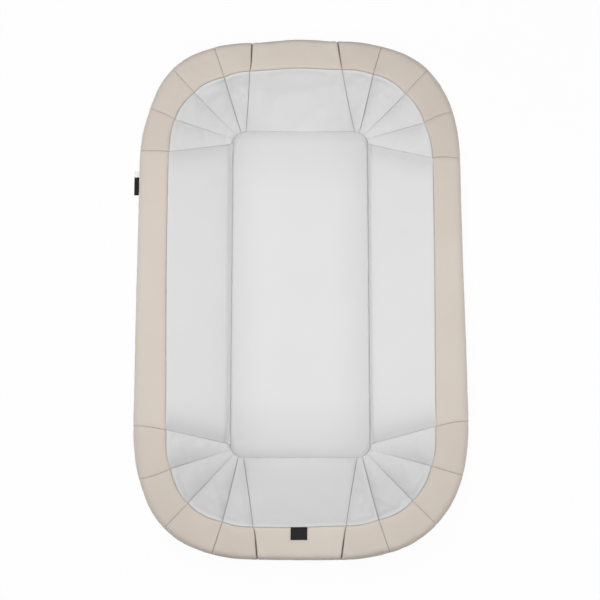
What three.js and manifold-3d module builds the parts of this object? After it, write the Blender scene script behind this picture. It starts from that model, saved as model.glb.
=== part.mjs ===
// Infant lounger: a padded nest with sloping walls. Lengths are in millimetres and +Z is up.
// The head end points along +Y. The origin is the middle of the underside.

import * as THREE from 'three';
import { mergeVertices } from 'three/addons/utils/BufferGeometryUtils.js';
import Module from 'manifold-3d';

const wasm = await Module();
wasm.setup();

// Overall size
const overallWidth = 554;
const overallLength = 880;
const rimHeight = 90;

// Plan of the rim: straight runs with superelliptic corners between them
const cornerWidth = 213;
const cornerLength = 236;
const cornerExponent = 2.6;
const rimBandAtEnds = 49.5;
const rimBandNarrowing = 2.5;
const rimSeamShift = 2.5;
const bellyBulge = 4;

// Slopes of the walls in plan, which leave the floor pad between them, and the pad's crown
const sideSlopeWidth = 105.5;
const endSlopeWidth = 98.5;
const floorCornerRadius = 23;
const floorShift = 4.5;
const floorCrown = 16;
const floorSideRoll = 24;
const floorEndRoll = 62;
const valleyHeight = 7;

// Seams of a corner, from its side wall round to its end wall, as shares of the quarter turn
const floorSeamShares = [0, 0.25, 0.5, 0.75, 1];
const innerSeamShares = [0.1, 0.308, 0.515, 0.74, 0.935];
const outerSeamShares = [0.069, 0.288, 0.512, 0.751, 0.968];

// How far the sewn seams of each corner stray from those, as shares of the same turn
const seamStrayShares = {
  head_left: [0.026, 0.006, -0.006, -0.018, -0.036],
  head_right: [-0.011, -0.008, -0.007, 0.007, 0.022],
  foot_left: [0.001, 0.01, 0.011, 0.009, 0.002],
  foot_right: [-0.017, -0.007, 0.001, 0.002, 0.013],
};

// Section of the wall, from the floor's seam up the lining, over the rim and down the side
// Lining: share of the way out, share of the rise
const liningShares = [[0, 0], [0.07, 0.13], [0.34, 0.4], [0.66, 0.7], [0.92, 0.985]];
// Rim: share of the band's width, share of the belly's bulge, share of the turn-down
const rimShares = [
  [0, 0, 0.2], [0.1, 0, 0.07], [0.42, 0, 0], [0.8, 0, 0.06], [0.96, 0, 0.3], [1, 0.3, 0.62], [1, 0.5, 1],
];
// Side below the rim: share of the belly's bulge, share of the height that is left
const sideShares = [[1, 0.6], [0.4, 0.22]];
const rimTurnDown = 34;
const sideTuck = 8;

// Sewn seams draw the padding in: by how much, and at which stations between two seams
const liningPinch = 3;
const rimPinch = 2.5;
const endRimPinch = 6;
const liningPinchShares = [0.1, 0.25, 0.8, 1, 0.7, 0.4];
const rimPinchShares = [0.8, 1, 1, 0.8, 0.4, 0];
const cornerStationShares = [0, 0.16, 0.5, 0.84, 1];
const cornerPinchShares = [1, 0.25, 0, 0.25, 1];
const straightStationShares = [0, 0.07, 0.28, 0.5, 0.72, 0.93, 1];
const straightPinchShares = [1, 0.25, 0, 0, 0, 0.25, 1];

// Cloth and fits
const clothThickness = 2.4;
const clothFit = 0.4;
const seamHalfGap = 0.2;
const foamHalfGap = 0.7;
const foamEndRelief = 1;
const baseThickness = 8;
const baseLip = 3;

// Zip across the underside
const zipFootMargin = 270;
const zipGapWidth = 24;
const zipTabLength = 17.5;
const zipTapeThickness = 0.6;
const zipTapeDrop = 2.2;
const zipFit = 0.3;
const coilWidth = 2.2;
const coilHeight = 1.8;
const coilSlot = 1.8;
const stopLength = 2.5;
const sliderLength = 11;
const sliderWidth = 8.4;
const sliderCornerRadius = 2;
const sliderPlate = 0.8;
const sliderPostLength = 3;
const bridgeLength = 8;
const bridgeWidth = 2.6;
const bridgeBar = 0.9;
const bridgeWindow = 1.9;
const pullLength = 24;
const pullWidth = 6.5;
const pullThickness = 0.8;
const pullSideFit = 0.4;
const pullEyeSlack = 0.6;
const pullTipRoom = 2;

// Labels sewn into the seams
const labelThickness = 0.9;
const labelLift = 0.4;
const footLabelWidth = 27;
const footLabelLength = 21;
const footLabelOffset = 2;
const sideTagWidth = 43;
const sideTagLength = 10;
const sideTagFromCorner = 12.5;
const labelRootSegments = 8;

// Numerical settings
const mergeDistance = 1e-4;

// Values worked out from the ones above
const baseTop = baseThickness + clothFit;
const valleyTop = baseThickness + valleyHeight;
const sideSeamHeight = rimHeight - rimTurnDown;
const coreDepth = clothThickness + clothFit;
const rimBandAtSides = rimBandAtEnds - rimBandNarrowing;
const zipPlace = overallLength / 2 - zipFootMargin;
const rimEdge = {
  halfWidth: overallWidth / 2 - bellyBulge,
  halfLength: overallLength / 2 - bellyBulge,
  centreY: 0,
};
const rimSeam = {
  halfWidth: rimEdge.halfWidth - rimBandAtSides,
  halfLength: rimEdge.halfLength - rimBandAtEnds,
  centreY: -rimSeamShift,
};
const floorWidth = 2 * (rimSeam.halfWidth - sideSlopeWidth);
const floorLength = 2 * (rimSeam.halfLength - endSlopeWidth);
const endStraightHalf = rimEdge.halfWidth - cornerWidth;
const sideStraightHalf = rimEdge.halfLength - cornerLength;
const sideTagPlace = sideStraightHalf - sideTagFromCorner;

function fabric(color, roughness = 0.95) {
  return new THREE.MeshStandardMaterial({ color, roughness, metalness: 0 });
}

function metal(color) {
  return new THREE.MeshStandardMaterial({ color, roughness: 0.35, metalness: 0.9 });
}

const colours = {
  lining: '#dededf',
  beige: '#d3c9bf',
  foam: '#efece4',
  base: '#c9c3bb',
  tape: '#cfc6bc',
  coil: '#bdb4aa',
  slider: '#b9b9bb',
  label: '#161616',
};

const lounger = new THREE.Group();
lounger.name = 'infant_lounger';

function add(name, geometry, material) {
  const mesh = new THREE.Mesh(geometry, material);
  mesh.name = name;
  lounger.add(mesh);
  return mesh;
}

// Plan curves

function powerMean(a, b) {
  return (a ** cornerExponent + b ** cornerExponent) ** (1 / cornerExponent);
}

function cornerPoint(ring, corner, share) {
  const angle = share * Math.PI / 2;
  const reach = 1 / powerMean(Math.cos(angle), Math.sin(angle));
  const x = endStraightHalf + (ring.halfWidth - endStraightHalf) * reach * Math.cos(angle);
  const y = sideStraightHalf + (ring.halfLength - sideStraightHalf) * reach * Math.sin(angle);
  return new THREE.Vector2(corner.x * x, ring.centreY + corner.y * y);
}

// How far out a ring lies at a place along its straight run or just into a corner
function reachBeside(place, straight, half, otherStraight, otherHalf) {
  const into = Math.max(0, Math.abs(place) - straight) / (half - straight);
  const share = (1 - into ** cornerExponent) ** (1 / cornerExponent);
  return otherStraight + (otherHalf - otherStraight) * share;
}

function endPoint(ring, sign, x) {
  const y = reachBeside(x, endStraightHalf, ring.halfWidth, sideStraightHalf, ring.halfLength);
  return new THREE.Vector2(x, ring.centreY + sign * y);
}

function sidePoint(ring, sign, y) {
  const place = y - ring.centreY;
  const x = reachBeside(place, sideStraightHalf, ring.halfLength, endStraightHalf, ring.halfWidth);
  return new THREE.Vector2(sign * x, y);
}

// The floor's outline, with its rounded corner, moved out by a margin
function floorCornerPoint(corner, share, margin) {
  const angle = share * Math.PI / 2;
  const radius = floorCornerRadius + margin;
  const x = floorWidth / 2 - floorCornerRadius + radius * Math.cos(angle);
  const y = floorLength / 2 - floorCornerRadius + radius * Math.sin(angle);
  return new THREE.Vector2(corner.x * x, floorShift + corner.y * y);
}

// Panels of the wall: four straight ones, and four wedges in each corner
// A ray runs out from the floor's seam, over the rim's inner seam, to the rim's edge

const corners = [
  { name: 'head_right', x: 1, y: 1 },
  { name: 'head_left', x: -1, y: 1 },
  { name: 'foot_left', x: -1, y: -1 },
  { name: 'foot_right', x: 1, y: -1 },
];

function seamRay(corner, index) {
  const stray = seamStrayShares[corner.name][index];
  return {
    floor: floorCornerPoint(corner, floorSeamShares[index], seamHalfGap),
    seam: cornerPoint(rimSeam, corner, innerSeamShares[index] + stray),
    edge: cornerPoint(rimEdge, corner, outerSeamShares[index] + stray),
  };
}

function mix(a, b, share) {
  return a + (b - a) * share;
}

function wedgeRays(corner, index) {
  const stray = seamStrayShares[corner.name];
  return cornerStationShares.map((share, station) => {
    const strayHere = mix(stray[index], stray[index + 1], share);
    const between = (shares) => mix(shares[index], shares[index + 1], share);
    const rimPinchHere = index === floorSeamShares.length - 2 && share > 0.5 ? endRimPinch : rimPinch;
    return {
      floor: floorCornerPoint(corner, between(floorSeamShares), seamHalfGap),
      seam: cornerPoint(rimSeam, corner, between(innerSeamShares) + strayHere),
      edge: cornerPoint(rimEdge, corner, between(outerSeamShares) + strayHere),
      liningPinch: liningPinch * cornerPinchShares[station],
      rimPinch: rimPinchHere * cornerPinchShares[station],
    };
  });
}

function straightRays(from, to, pointOn, pinch) {
  return straightStationShares.map((share, station) => ({
    floor: from.floor.clone().lerp(to.floor, share),
    seam: pointOn(rimSeam, from.seam, to.seam, share),
    edge: pointOn(rimEdge, from.edge, to.edge, share),
    liningPinch: liningPinch * straightPinchShares[station],
    rimPinch: pinch * straightPinchShares[station],
  }));
}

function endRays(first, second, sign) {
  const last = floorSeamShares.length - 1;
  const pointOn = (ring, a, b, share) => endPoint(ring, sign, mix(a.x, b.x, share));
  return straightRays(seamRay(first, last), seamRay(second, last), pointOn, endRimPinch);
}

function sideRays(first, second, sign) {
  const pointOn = (ring, a, b, share) => sidePoint(ring, sign, mix(a.y, b.y, share));
  return straightRays(seamRay(first, 0), seamRay(second, 0), pointOn, rimPinch);
}

// The corner's wedges in turn, anticlockwise seen from above, as the whole wall runs
function cornerWedges(corner) {
  const wedges = floorSeamShares.slice(1).map((share, index) => wedgeRays(corner, index));
  if (corner.x * corner.y > 0) {
    return wedges;
  }
  return wedges.reverse().map((rays) => rays.reverse());
}

const [headRight, headLeft, footLeft, footRight] = corners;
const wall = [
  { name: 'right', wedges: [sideRays(footRight, headRight, 1)] },
  { name: 'head_right', wedges: cornerWedges(headRight) },
  { name: 'head', wedges: [endRays(headRight, headLeft, 1)] },
  { name: 'head_left', wedges: cornerWedges(headLeft) },
  { name: 'left', wedges: [sideRays(headLeft, footLeft, -1)] },
  { name: 'foot_left', wedges: cornerWedges(footLeft) },
  { name: 'foot', wedges: [endRays(footLeft, footRight, -1)] },
  { name: 'foot_right', wedges: cornerWedges(footRight) },
];

// Section of the wall along a ray: x is the distance out along the ray, y the height

function sectionNormals(points) {
  return points.map((point, index) => {
    const before = points[Math.max(0, index - 1)];
    const after = points[Math.min(points.length - 1, index + 1)];
    const along = after.clone().sub(before).normalize();
    return new THREE.Vector2(-along.y, along.x);
  });
}

function plainSection(ray) {
  const way = ray.seam.distanceTo(ray.floor);
  const band = ray.edge.distanceTo(ray.seam);
  const seamHeight = rimHeight - rimShares[0][2] * rimTurnDown;
  const lining = liningShares.map(([out, rise]) => (
    new THREE.Vector2(out * way, mix(valleyTop, seamHeight, rise))));
  const rim = rimShares.map(([across, bulge, drop]) => (
    new THREE.Vector2(way + across * band + bulge * bellyBulge, rimHeight - drop * rimTurnDown)));
  const side = sideShares.map(([bulge, height]) => (
    new THREE.Vector2(way + band + bulge * bellyBulge, mix(baseTop, sideSeamHeight, height))));
  const foot = new THREE.Vector2(way + band - sideTuck, baseTop);
  return [...lining, ...rim, ...side, foot];
}

function pinchedSection(ray) {
  const points = plainSection(ray);
  const normals = sectionNormals(points);
  const pinches = [
    ...liningPinchShares.map((share) => share * ray.liningPinch),
    ...rimPinchShares.map((share) => share * ray.rimPinch),
  ];
  pinches.forEach((pinch, index) => points[index].addScaledVector(normals[index], -pinch));
  return points;
}

// The same line a given depth further in, with mitred corners
function deeper(points, depth) {
  const last = points.length - 1;
  const segments = points.slice(1).map((point, index) => point.clone().sub(points[index]).normalize());
  return points.map((point, index) => {
    const before = segments[Math.max(0, index - 1)];
    const after = segments[Math.min(last - 1, index)];
    const middle = before.clone().add(after).normalize();
    const mitre = depth / middle.dot(after);
    return new THREE.Vector2(point.x + middle.y * mitre, point.y - middle.x * mitre);
  });
}

// Both ends of a line drawn back along it
function trimmed(points, gap) {
  const last = points.length - 1;
  const result = points.map((point) => point.clone());
  result[0].addScaledVector(points[1].clone().sub(points[0]).normalize(), gap);
  result[last].addScaledVector(points[last - 1].clone().sub(points[last]).normalize(), gap);
  return result;
}

function placeOn(ray, point) {
  const way = ray.seam.distanceTo(ray.floor);
  const band = ray.edge.distanceTo(ray.seam);
  const plan = point.x < way
    ? ray.floor.clone().lerp(ray.seam, point.x / way)
    : ray.seam.clone().lerp(ray.edge, (point.x - way) / band);
  return new THREE.Vector3(plan.x, plan.y, point.y);
}

// Lines of vertices across a panel. The end lines stand back from the seam by a gap

function drawnBack(lines, gap) {
  const last = lines.length - 1;
  const result = [...lines];
  const toward = (line, next) => line.map((point, index) => (
    point.clone().add(next[index].clone().sub(point).setLength(gap))));
  result[0] = toward(lines[0], lines[1]);
  result[last] = toward(lines[last], lines[last - 1]);
  return result;
}

function surfaceLines(rays, from, to, depth, closed) {
  const lines = rays.map((ray) => {
    const section = deeper(pinchedSection(ray), depth).slice(from, to + 1);
    return trimmed(section, seamHalfGap).map((point) => placeOn(ray, point));
  });
  return closed ? lines : drawnBack(lines, seamHalfGap);
}

// Closed meshes from lines of vertices

function meshFrom(vertices, faces) {
  const geometry = new THREE.BufferGeometry();
  const position = new Float32Array(vertices.flatMap((vertex) => vertex.toArray()));
  geometry.setAttribute('position', new THREE.BufferAttribute(position, 3));
  geometry.setIndex(faces.flat());
  geometry.computeVertexNormals();
  return geometry;
}

// Two triangles between neighbouring lines, with the diagonal always from a to c
function quad(a, b, c, d, turned) {
  return turned ? [[a, c, b], [a, d, c]] : [[a, b, c], [a, c, d]];
}

// A sheet of even thickness: outer and inner lines, joined along all its borders
function sheet(outer, inner, closed = false) {
  const count = outer.length;
  const width = outer[0].length;
  const vertices = [...outer.flat(), ...inner.flat()];
  const out = (line, index) => (line % count) * width + index;
  const into = (line, index) => count * width + out(line, index);
  const faces = [];
  const spans = closed ? count : count - 1;
  for (let line = 0; line < spans; line += 1) {
    for (let index = 0; index < width - 1; index += 1) {
      faces.push(...quad(
        out(line, index), out(line + 1, index), out(line + 1, index + 1), out(line, index + 1), true));
      faces.push(...quad(
        into(line, index), into(line + 1, index), into(line + 1, index + 1), into(line, index + 1), false));
    }
    faces.push(...quad(out(line, 0), out(line + 1, 0), into(line + 1, 0), into(line, 0), false));
    const end = width - 1;
    faces.push(...quad(out(line, end), out(line + 1, end), into(line + 1, end), into(line, end), true));
  }
  if (!closed) {
    const lastLine = count - 1;
    for (let index = 0; index < width - 1; index += 1) {
      faces.push(...quad(out(0, index), out(0, index + 1), into(0, index + 1), into(0, index), true));
      faces.push(...quad(
        out(lastLine, index), out(lastLine, index + 1),
        into(lastLine, index + 1), into(lastLine, index), false));
    }
  }
  return meshFrom(vertices, faces);
}

// A solid lofted through outlines with as many points each, flat at both ends
function loft(lines, endOutline) {
  const width = lines[0].length;
  const at = (line, index) => line * width + (index % width);
  const faces = [];
  for (let line = 0; line < lines.length - 1; line += 1) {
    for (let index = 0; index < width; index += 1) {
      faces.push(...quad(
        at(line, index), at(line + 1, index), at(line + 1, index + 1), at(line, index + 1), true));
    }
  }
  const cap = THREE.ShapeUtils.triangulateShape(endOutline, []);
  const lastLine = lines.length - 1;
  const clockwise = THREE.ShapeUtils.isClockWise(endOutline);
  for (const [a, b, c] of cap) {
    const [first, second] = clockwise ? [b, c] : [c, b];
    faces.push([at(0, a), at(0, first), at(0, second)]);
    faces.push([at(lastLine, a), at(lastLine, second), at(lastLine, first)]);
  }
  return meshFrom(lines.flat(), faces);
}

// Skins and foam cores of the wall

const liningEnd = liningShares.length;
const rimEnd = liningEnd + rimShares.length - 1;
const sideEnd = rimEnd + sideShares.length + 1;

// Rays of a panel in one row, with the ray that two wedges share taken once
function joinedRays(wedges) {
  return wedges.flatMap((rays, index) => (index === 0 ? rays : rays.slice(1)));
}

function wallSkin(rays, from, to, closed = false) {
  const outer = surfaceLines(rays, from, to, 0, closed);
  const inner = surfaceLines(rays, from, to, clothThickness, closed);
  return sheet(outer, inner, closed);
}

function foamOutline(ray, depth) {
  const top = deeper(pinchedSection(ray), depth);
  const outerFoot = new THREE.Vector2(top[sideEnd].x - clothThickness, baseTop);
  const innerFoot = new THREE.Vector2(top[0].x, baseTop);
  return [...top, outerFoot, innerFoot];
}

// The core's ends lie a little deeper than its middle, so it clears the cloth drawn into the seams
function wallFoam(rays) {
  const outlines = rays.map((ray, index) => {
    const atEnd = index === 0 || index === rays.length - 1;
    return foamOutline(ray, coreDepth + (atEnd ? foamEndRelief : 0));
  });
  const lines = rays.map((ray, index) => outlines[index].map((point) => placeOn(ray, point)));
  return loft(drawnBack(lines, foamHalfGap), outlines[0]);
}

for (const { name, wedges } of wall) {
  const rays = joinedRays(wedges);
  add(`lining_${name}`, wallSkin(rays, 0, liningEnd), fabric(colours.lining));
  add(`rim_${name}`, wallSkin(rays, liningEnd, rimEnd), fabric(colours.beige));
  wedges.forEach((wedge, index) => {
    const suffix = wedges.length > 1 ? `_${index + 1}` : '';
    add(`foam_${name}${suffix}`, wallFoam(wedge), fabric(colours.foam, 1));
  });
}

const allRays = wall.flatMap(({ wedges }) => joinedRays(wedges).slice(0, -1));
add('side_band', wallSkin(allRays, rimEnd, sideEnd, true), fabric(colours.beige));

// Floor pad: rows of vertices across the floor, from the foot to the head

// Rise of the crown at a distance from an edge, as a share
function rollShare(distance, roll) {
  const share = Math.min(1, Math.max(0, distance) / roll);
  return 1 - (1 - share) ** 2;
}

function floorHeight(x, y, halfWidth, halfLength) {
  const acrossShare = rollShare(halfWidth - Math.abs(x), floorSideRoll);
  const alongShare = rollShare(halfLength - Math.abs(y), floorEndRoll);
  return valleyTop + floorCrown * acrossShare * alongShare;
}

const columnShares = [-1, -0.94, -0.82, -0.4, 0, 0.4, 0.82, 0.94, 1];
const floorArcShares = [1, 0.67, 0.33, 0];
const floorRunShares = [0.93, 0.8, 0.4, 0];

// Places of the rows along the floor, and the half width at each
function floorRows(margin) {
  const halfWidth = floorWidth / 2 - margin;
  const halfLength = floorLength / 2 - margin;
  const radius = floorCornerRadius - margin;
  const arc = floorArcShares.map((share) => ({
    y: halfLength - radius + radius * Math.sin(share * Math.PI / 2),
    half: halfWidth - radius + radius * Math.cos(share * Math.PI / 2),
  }));
  const run = floorRunShares.map((share) => ({
    y: share * (halfLength - radius),
    half: halfWidth,
  }));
  const headRows = [...arc, ...run];
  const footRows = headRows.map((row) => ({ y: -row.y, half: row.half }));
  return { rows: [...footRows, ...headRows.slice(0, -1).reverse()], halfLength };
}

function floorLines(margin, depth) {
  const { rows, halfLength } = floorRows(margin);
  return rows.map(({ y, half }) => columnShares.map((share) => {
    const height = floorHeight(share * half, y, half, halfLength);
    return new THREE.Vector3(share * half, y + floorShift, height - depth);
  }));
}

add('lining_floor', sheet(floorLines(seamHalfGap, 0), floorLines(seamHalfGap, clothThickness)),
  fabric(colours.lining));

function floorFoam() {
  const margin = seamHalfGap + foamHalfGap;
  const top = floorLines(margin, coreDepth);
  const bottom = top.map((line) => line.map((point) => new THREE.Vector3(point.x, point.y, baseTop)));
  return sheet(top, bottom);
}

add('foam_floor', floorFoam(), fabric(colours.foam, 1));

// Base: two panels with the zip between them, and a tab past each end of the zip

// The part of an outline where a distance, positive on the side that is kept, isn't negative
function clipped(outline, distance) {
  return outline.flatMap((point, index) => {
    const next = outline[(index + 1) % outline.length];
    const here = distance(point);
    const there = distance(next);
    const kept = here >= 0 ? [point] : [];
    if (here * there < 0) {
      kept.push(point.clone().lerp(next, here / (here - there)));
    }
    return kept;
  });
}

function slab(outline, bottom, thickness) {
  const geometry = new THREE.ExtrudeGeometry(new THREE.Shape(outline), {
    depth: thickness,
    bevelEnabled: false,
  });
  return geometry.translate(0, 0, bottom);
}

const baseOutline = allRays.map((ray) => {
  const out = ray.seam.distanceTo(ray.floor) + ray.edge.distanceTo(ray.seam) - sideTuck + baseLip;
  const point = placeOn(ray, new THREE.Vector2(out, 0));
  return new THREE.Vector2(point.x, point.y);
});
const aheadOfZip = (point) => point.y + zipPlace;
const tabStart = rimEdge.halfWidth - sideTuck + baseLip - zipTabLength;
const sliderRest = tabStart - pullTipRoom - pullLength;
const zipLength = 2 * sliderRest + sliderLength;
const headOutline = clipped(baseOutline, (point) => aheadOfZip(point) - zipGapWidth / 2);
const footOutline = clipped(baseOutline, (point) => -aheadOfZip(point) - zipGapWidth / 2);
add('base_head', slab(headOutline, 0, baseThickness), fabric(colours.base));
add('base_foot', slab(footOutline, 0, baseThickness), fabric(colours.base));

for (const [name, sign] of [['left', -1], ['right', 1]]) {
  const tabHalf = zipGapWidth / 2 - zipFit;
  const beyondFoot = clipped(baseOutline, (point) => tabHalf + aheadOfZip(point));
  const acrossGap = clipped(beyondFoot, (point) => tabHalf - aheadOfZip(point));
  const outline = clipped(acrossGap, (point) => sign * point.x - tabStart);
  add(`base_tab_${name}`, slab(outline, 0, baseThickness), fabric(colours.base));
}

// Zip: tapes and coil rows to either side of a slot in which the slider's post runs

function block(width, depth, height) {
  return new THREE.BoxGeometry(width, depth, height);
}

const tapeHeight = baseThickness - zipTapeDrop;
const coilEdge = coilSlot / 2 + coilWidth;
const tapeInner = coilEdge + zipFit;
const tapeOuter = zipGapWidth / 2 - zipFit;
const tapeHalfLength = tabStart - zipFit;

for (const [name, sign] of [['head', 1], ['foot', -1]]) {
  const tape = add(`zip_tape_${name}`,
    block(2 * tapeHalfLength, tapeOuter - tapeInner, zipTapeThickness), fabric(colours.tape));
  tape.position.set(0, -zipPlace + sign * (tapeInner + tapeOuter) / 2, tapeHeight);
  const coil = add(`zip_coil_${name}`, block(zipLength, coilWidth, coilHeight), fabric(colours.coil, 0.6));
  coil.position.set(0, -zipPlace + sign * (coilSlot + coilWidth) / 2, tapeHeight);
}

for (const [name, sign] of [['left', -1], ['right', 1]]) {
  const stop = add(`zip_stop_${name}`, block(stopLength, 2 * coilEdge, coilHeight), metal(colours.slider));
  stop.position.set(sign * (zipLength / 2 + zipFit + stopLength / 2), -zipPlace, tapeHeight);
}

function toSolid(geometry) {
  const plain = geometry.clone();
  plain.deleteAttribute('normal');
  plain.deleteAttribute('uv');
  const merged = mergeVertices(plain, mergeDistance);
  return new wasm.Manifold(new wasm.Mesh({
    numProp: 3,
    vertProperties: new Float32Array(merged.attributes.position.array),
    triVerts: new Uint32Array(merged.index.array),
  }));
}

function toGeometry(solid) {
  const mesh = solid.getMesh();
  const geometry = new THREE.BufferGeometry();
  geometry.setAttribute('position', new THREE.BufferAttribute(new Float32Array(mesh.vertProperties), 3));
  geometry.setIndex(Array.from(mesh.triVerts));
  geometry.computeVertexNormals();
  return geometry;
}

function roundedRectangle(length, width, radius) {
  const shape = new THREE.Shape();
  const x = length / 2 - radius;
  const y = width / 2 - radius;
  shape.absarc(x, y, radius, 0, Math.PI / 2);
  shape.absarc(-x, y, radius, Math.PI / 2, Math.PI);
  shape.absarc(-x, -y, radius, Math.PI, 1.5 * Math.PI);
  shape.absarc(x, -y, radius, 1.5 * Math.PI, 2 * Math.PI);
  return shape;
}

function plate(shape, bottom, thickness) {
  const geometry = new THREE.ExtrudeGeometry(shape, {
    depth: thickness,
    bevelEnabled: false,
    curveSegments: 4,
  });
  return geometry.translate(0, 0, bottom);
}

const coilTop = tapeHeight + coilHeight / 2;
const coilBottom = tapeHeight - coilHeight / 2;
const upperPlate = coilTop + zipFit;
const lowerPlate = coilBottom - zipFit - sliderPlate;
const bridgeBottom = lowerPlate - bridgeWindow - bridgeBar;
const pullAxisHeight = lowerPlate - bridgeWindow / 2;

// Seen from the side: a bar under the slider, held at both ends, with the window above it
function bridgeGeometry() {
  const half = bridgeLength / 2;
  const inner = half - bridgeBar;
  const root = lowerPlate + sliderPlate / 2;
  const windowBottom = bridgeBottom + bridgeBar;
  const shape = new THREE.Shape([
    new THREE.Vector2(-half, root),
    new THREE.Vector2(-half, bridgeBottom),
    new THREE.Vector2(half, bridgeBottom),
    new THREE.Vector2(half, root),
    new THREE.Vector2(inner, root),
    new THREE.Vector2(inner, windowBottom),
    new THREE.Vector2(-inner, windowBottom),
    new THREE.Vector2(-inner, root),
  ]);
  const geometry = new THREE.ExtrudeGeometry(shape, { depth: bridgeWidth, bevelEnabled: false });
  return geometry.rotateX(Math.PI / 2).translate(0, bridgeWidth / 2, 0);
}

function sliderGeometry() {
  const outline = roundedRectangle(sliderLength, sliderWidth, sliderCornerRadius);
  const postHeight = upperPlate - lowerPlate;
  const post = block(sliderPostLength, coilSlot - 2 * zipFit, postHeight)
    .translate(sliderLength / 2 - sliderPostLength, 0, lowerPlate + sliderPlate / 2 + postHeight / 2);
  const solid = toSolid(plate(outline, upperPlate, sliderPlate))
    .add(toSolid(plate(outline, lowerPlate, sliderPlate)))
    .add(toSolid(post))
    .add(toSolid(bridgeGeometry()));
  return toGeometry(solid);
}

add('zip_slider', sliderGeometry(), metal(colours.slider)).position.set(sliderRest, -zipPlace, 0);

// The pull's eye is a slot whose inner end bar lies in the window of the bridge
function pullGeometry() {
  const half = pullWidth / 2;
  const start = -pullThickness / 2;
  const shape = new THREE.Shape();
  shape.moveTo(start, -half);
  shape.lineTo(pullLength - half, -half);
  shape.absarc(pullLength - half, 0, half, -Math.PI / 2, Math.PI / 2);
  shape.lineTo(start, half);
  const eyeHalf = bridgeWidth / 2 + pullSideFit;
  const eyeStart = pullThickness / 2;
  const eyeEnd = Math.hypot(bridgeLength / 2, pullAxisHeight - bridgeBottom) + pullEyeSlack;
  shape.holes.push(new THREE.Path([
    new THREE.Vector2(eyeStart, -eyeHalf),
    new THREE.Vector2(eyeStart, eyeHalf),
    new THREE.Vector2(eyeEnd, eyeHalf),
    new THREE.Vector2(eyeEnd, -eyeHalf),
  ]));
  return plate(shape, -pullThickness / 2, pullThickness);
}

const pull = add('zip_pull', pullGeometry(), metal(colours.slider));
pull.position.set(sliderRest, -zipPlace, pullAxisHeight);
pull.rotation.z = Math.PI;

// Labels: a strip in side view, with a round root on which it lifts

function labelGeometry(path, width) {
  const half = labelThickness / 2;
  const upper = deeper(path, -half);
  const lower = deeper(path, half);
  const start = Math.atan2(lower[0].y - path[0].y, lower[0].x - path[0].x);
  const root = [];
  for (let step = 1; step < labelRootSegments; step += 1) {
    const angle = start - Math.PI * step / labelRootSegments;
    root.push(new THREE.Vector2(half * Math.cos(angle), half * Math.sin(angle)).add(path[0]));
  }
  const outline = [...upper, ...lower.reverse(), ...root];
  const geometry = new THREE.ExtrudeGeometry(new THREE.Shape(outline), {
    depth: width,
    bevelEnabled: false,
  });
  // The side view's x and y become the outward direction and the height
  return geometry.rotateX(Math.PI / 2).translate(0, width / 2, 0);
}

const footRay = wall.find(({ name }) => name === 'foot').wedges[0][straightStationShares.length >> 1];
const footWay = footRay.seam.distanceTo(footRay.floor);
const footSection = deeper(pinchedSection(footRay), -labelLift - labelThickness / 2);
const footRoot = footSection[liningEnd].clone();
footRoot.x = Math.max(footRoot.x, footWay);
const footBend = footSection[liningEnd + 1];
const footFar = footSection[liningEnd + 2];
const footRun = footLabelLength - footBend.distanceTo(footRoot);
const footTip = footBend.clone().add(footFar.clone().sub(footBend).setLength(footRun));
const footPath = [footRoot, footBend, footTip].map((point) => point.clone().sub(footRoot));
const footLabel = add('foot_label', labelGeometry(footPath, footLabelWidth), fabric(colours.label, 0.8));
const footRootPlace = placeOn(footRay, footRoot);
footLabel.position.set(-footLabelOffset, footRootPlace.y, footRootPlace.z);
footLabel.rotation.z = -Math.PI / 2;

const tagRootX = rimEdge.halfWidth + bellyBulge / 2 + labelThickness / 2 + labelLift;
const tagTip = sideTagLength - labelThickness - labelLift;
const tagPath = [new THREE.Vector2(0, 0), new THREE.Vector2(tagTip, 0)];
const sideTag = add('side_tag', labelGeometry(tagPath, sideTagWidth), fabric(colours.label, 0.8));
sideTag.position.set(-tagRootX, sideTagPlace, sideSeamHeight);
sideTag.rotation.z = Math.PI;

export default lounger;
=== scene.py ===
import math

import bpy
import numpy as np
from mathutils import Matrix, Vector
from mathutils.bvhtree import BVHTree


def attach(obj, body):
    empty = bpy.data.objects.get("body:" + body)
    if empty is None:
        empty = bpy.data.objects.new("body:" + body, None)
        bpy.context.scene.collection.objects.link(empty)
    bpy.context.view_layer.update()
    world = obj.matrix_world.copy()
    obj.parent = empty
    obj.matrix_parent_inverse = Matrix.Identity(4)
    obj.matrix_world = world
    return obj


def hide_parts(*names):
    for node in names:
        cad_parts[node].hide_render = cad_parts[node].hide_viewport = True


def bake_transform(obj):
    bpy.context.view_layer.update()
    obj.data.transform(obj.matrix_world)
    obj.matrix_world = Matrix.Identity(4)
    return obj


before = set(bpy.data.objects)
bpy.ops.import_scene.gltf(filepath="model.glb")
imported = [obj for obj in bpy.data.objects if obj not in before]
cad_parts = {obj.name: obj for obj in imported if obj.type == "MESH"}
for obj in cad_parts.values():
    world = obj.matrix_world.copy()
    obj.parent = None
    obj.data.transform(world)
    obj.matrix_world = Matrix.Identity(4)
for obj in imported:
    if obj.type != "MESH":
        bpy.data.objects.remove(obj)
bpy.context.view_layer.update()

# Sizes of the part in millimetres. Meshes are turned into metres when they are made
RIM_HALF = np.array([273.0, 436.0])
INNER_HALF = np.array([226.0, 386.5])
INNER_CENTRE_Y = -2.5
STRAIGHT_HALF = np.array([60.0, 200.0])
CORNER_EXPONENT = 2.6
FLOOR_HALF = np.array([120.5, 288.0])
FLOOR_CORNER = 23.0
FLOOR_SHIFT = 4.5
FLOOR_END_GAP = 0.05
VALLEY = 15.0
INNER_HEIGHT = 83.2
RIM_HEIGHT = 90.0
SIDE_SEAM_HEIGHT = 56.0
BASE_TOP = 8.4
BASE_THICKNESS = 8.0
SEAM_HALF_GAP = 0.2
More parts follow.
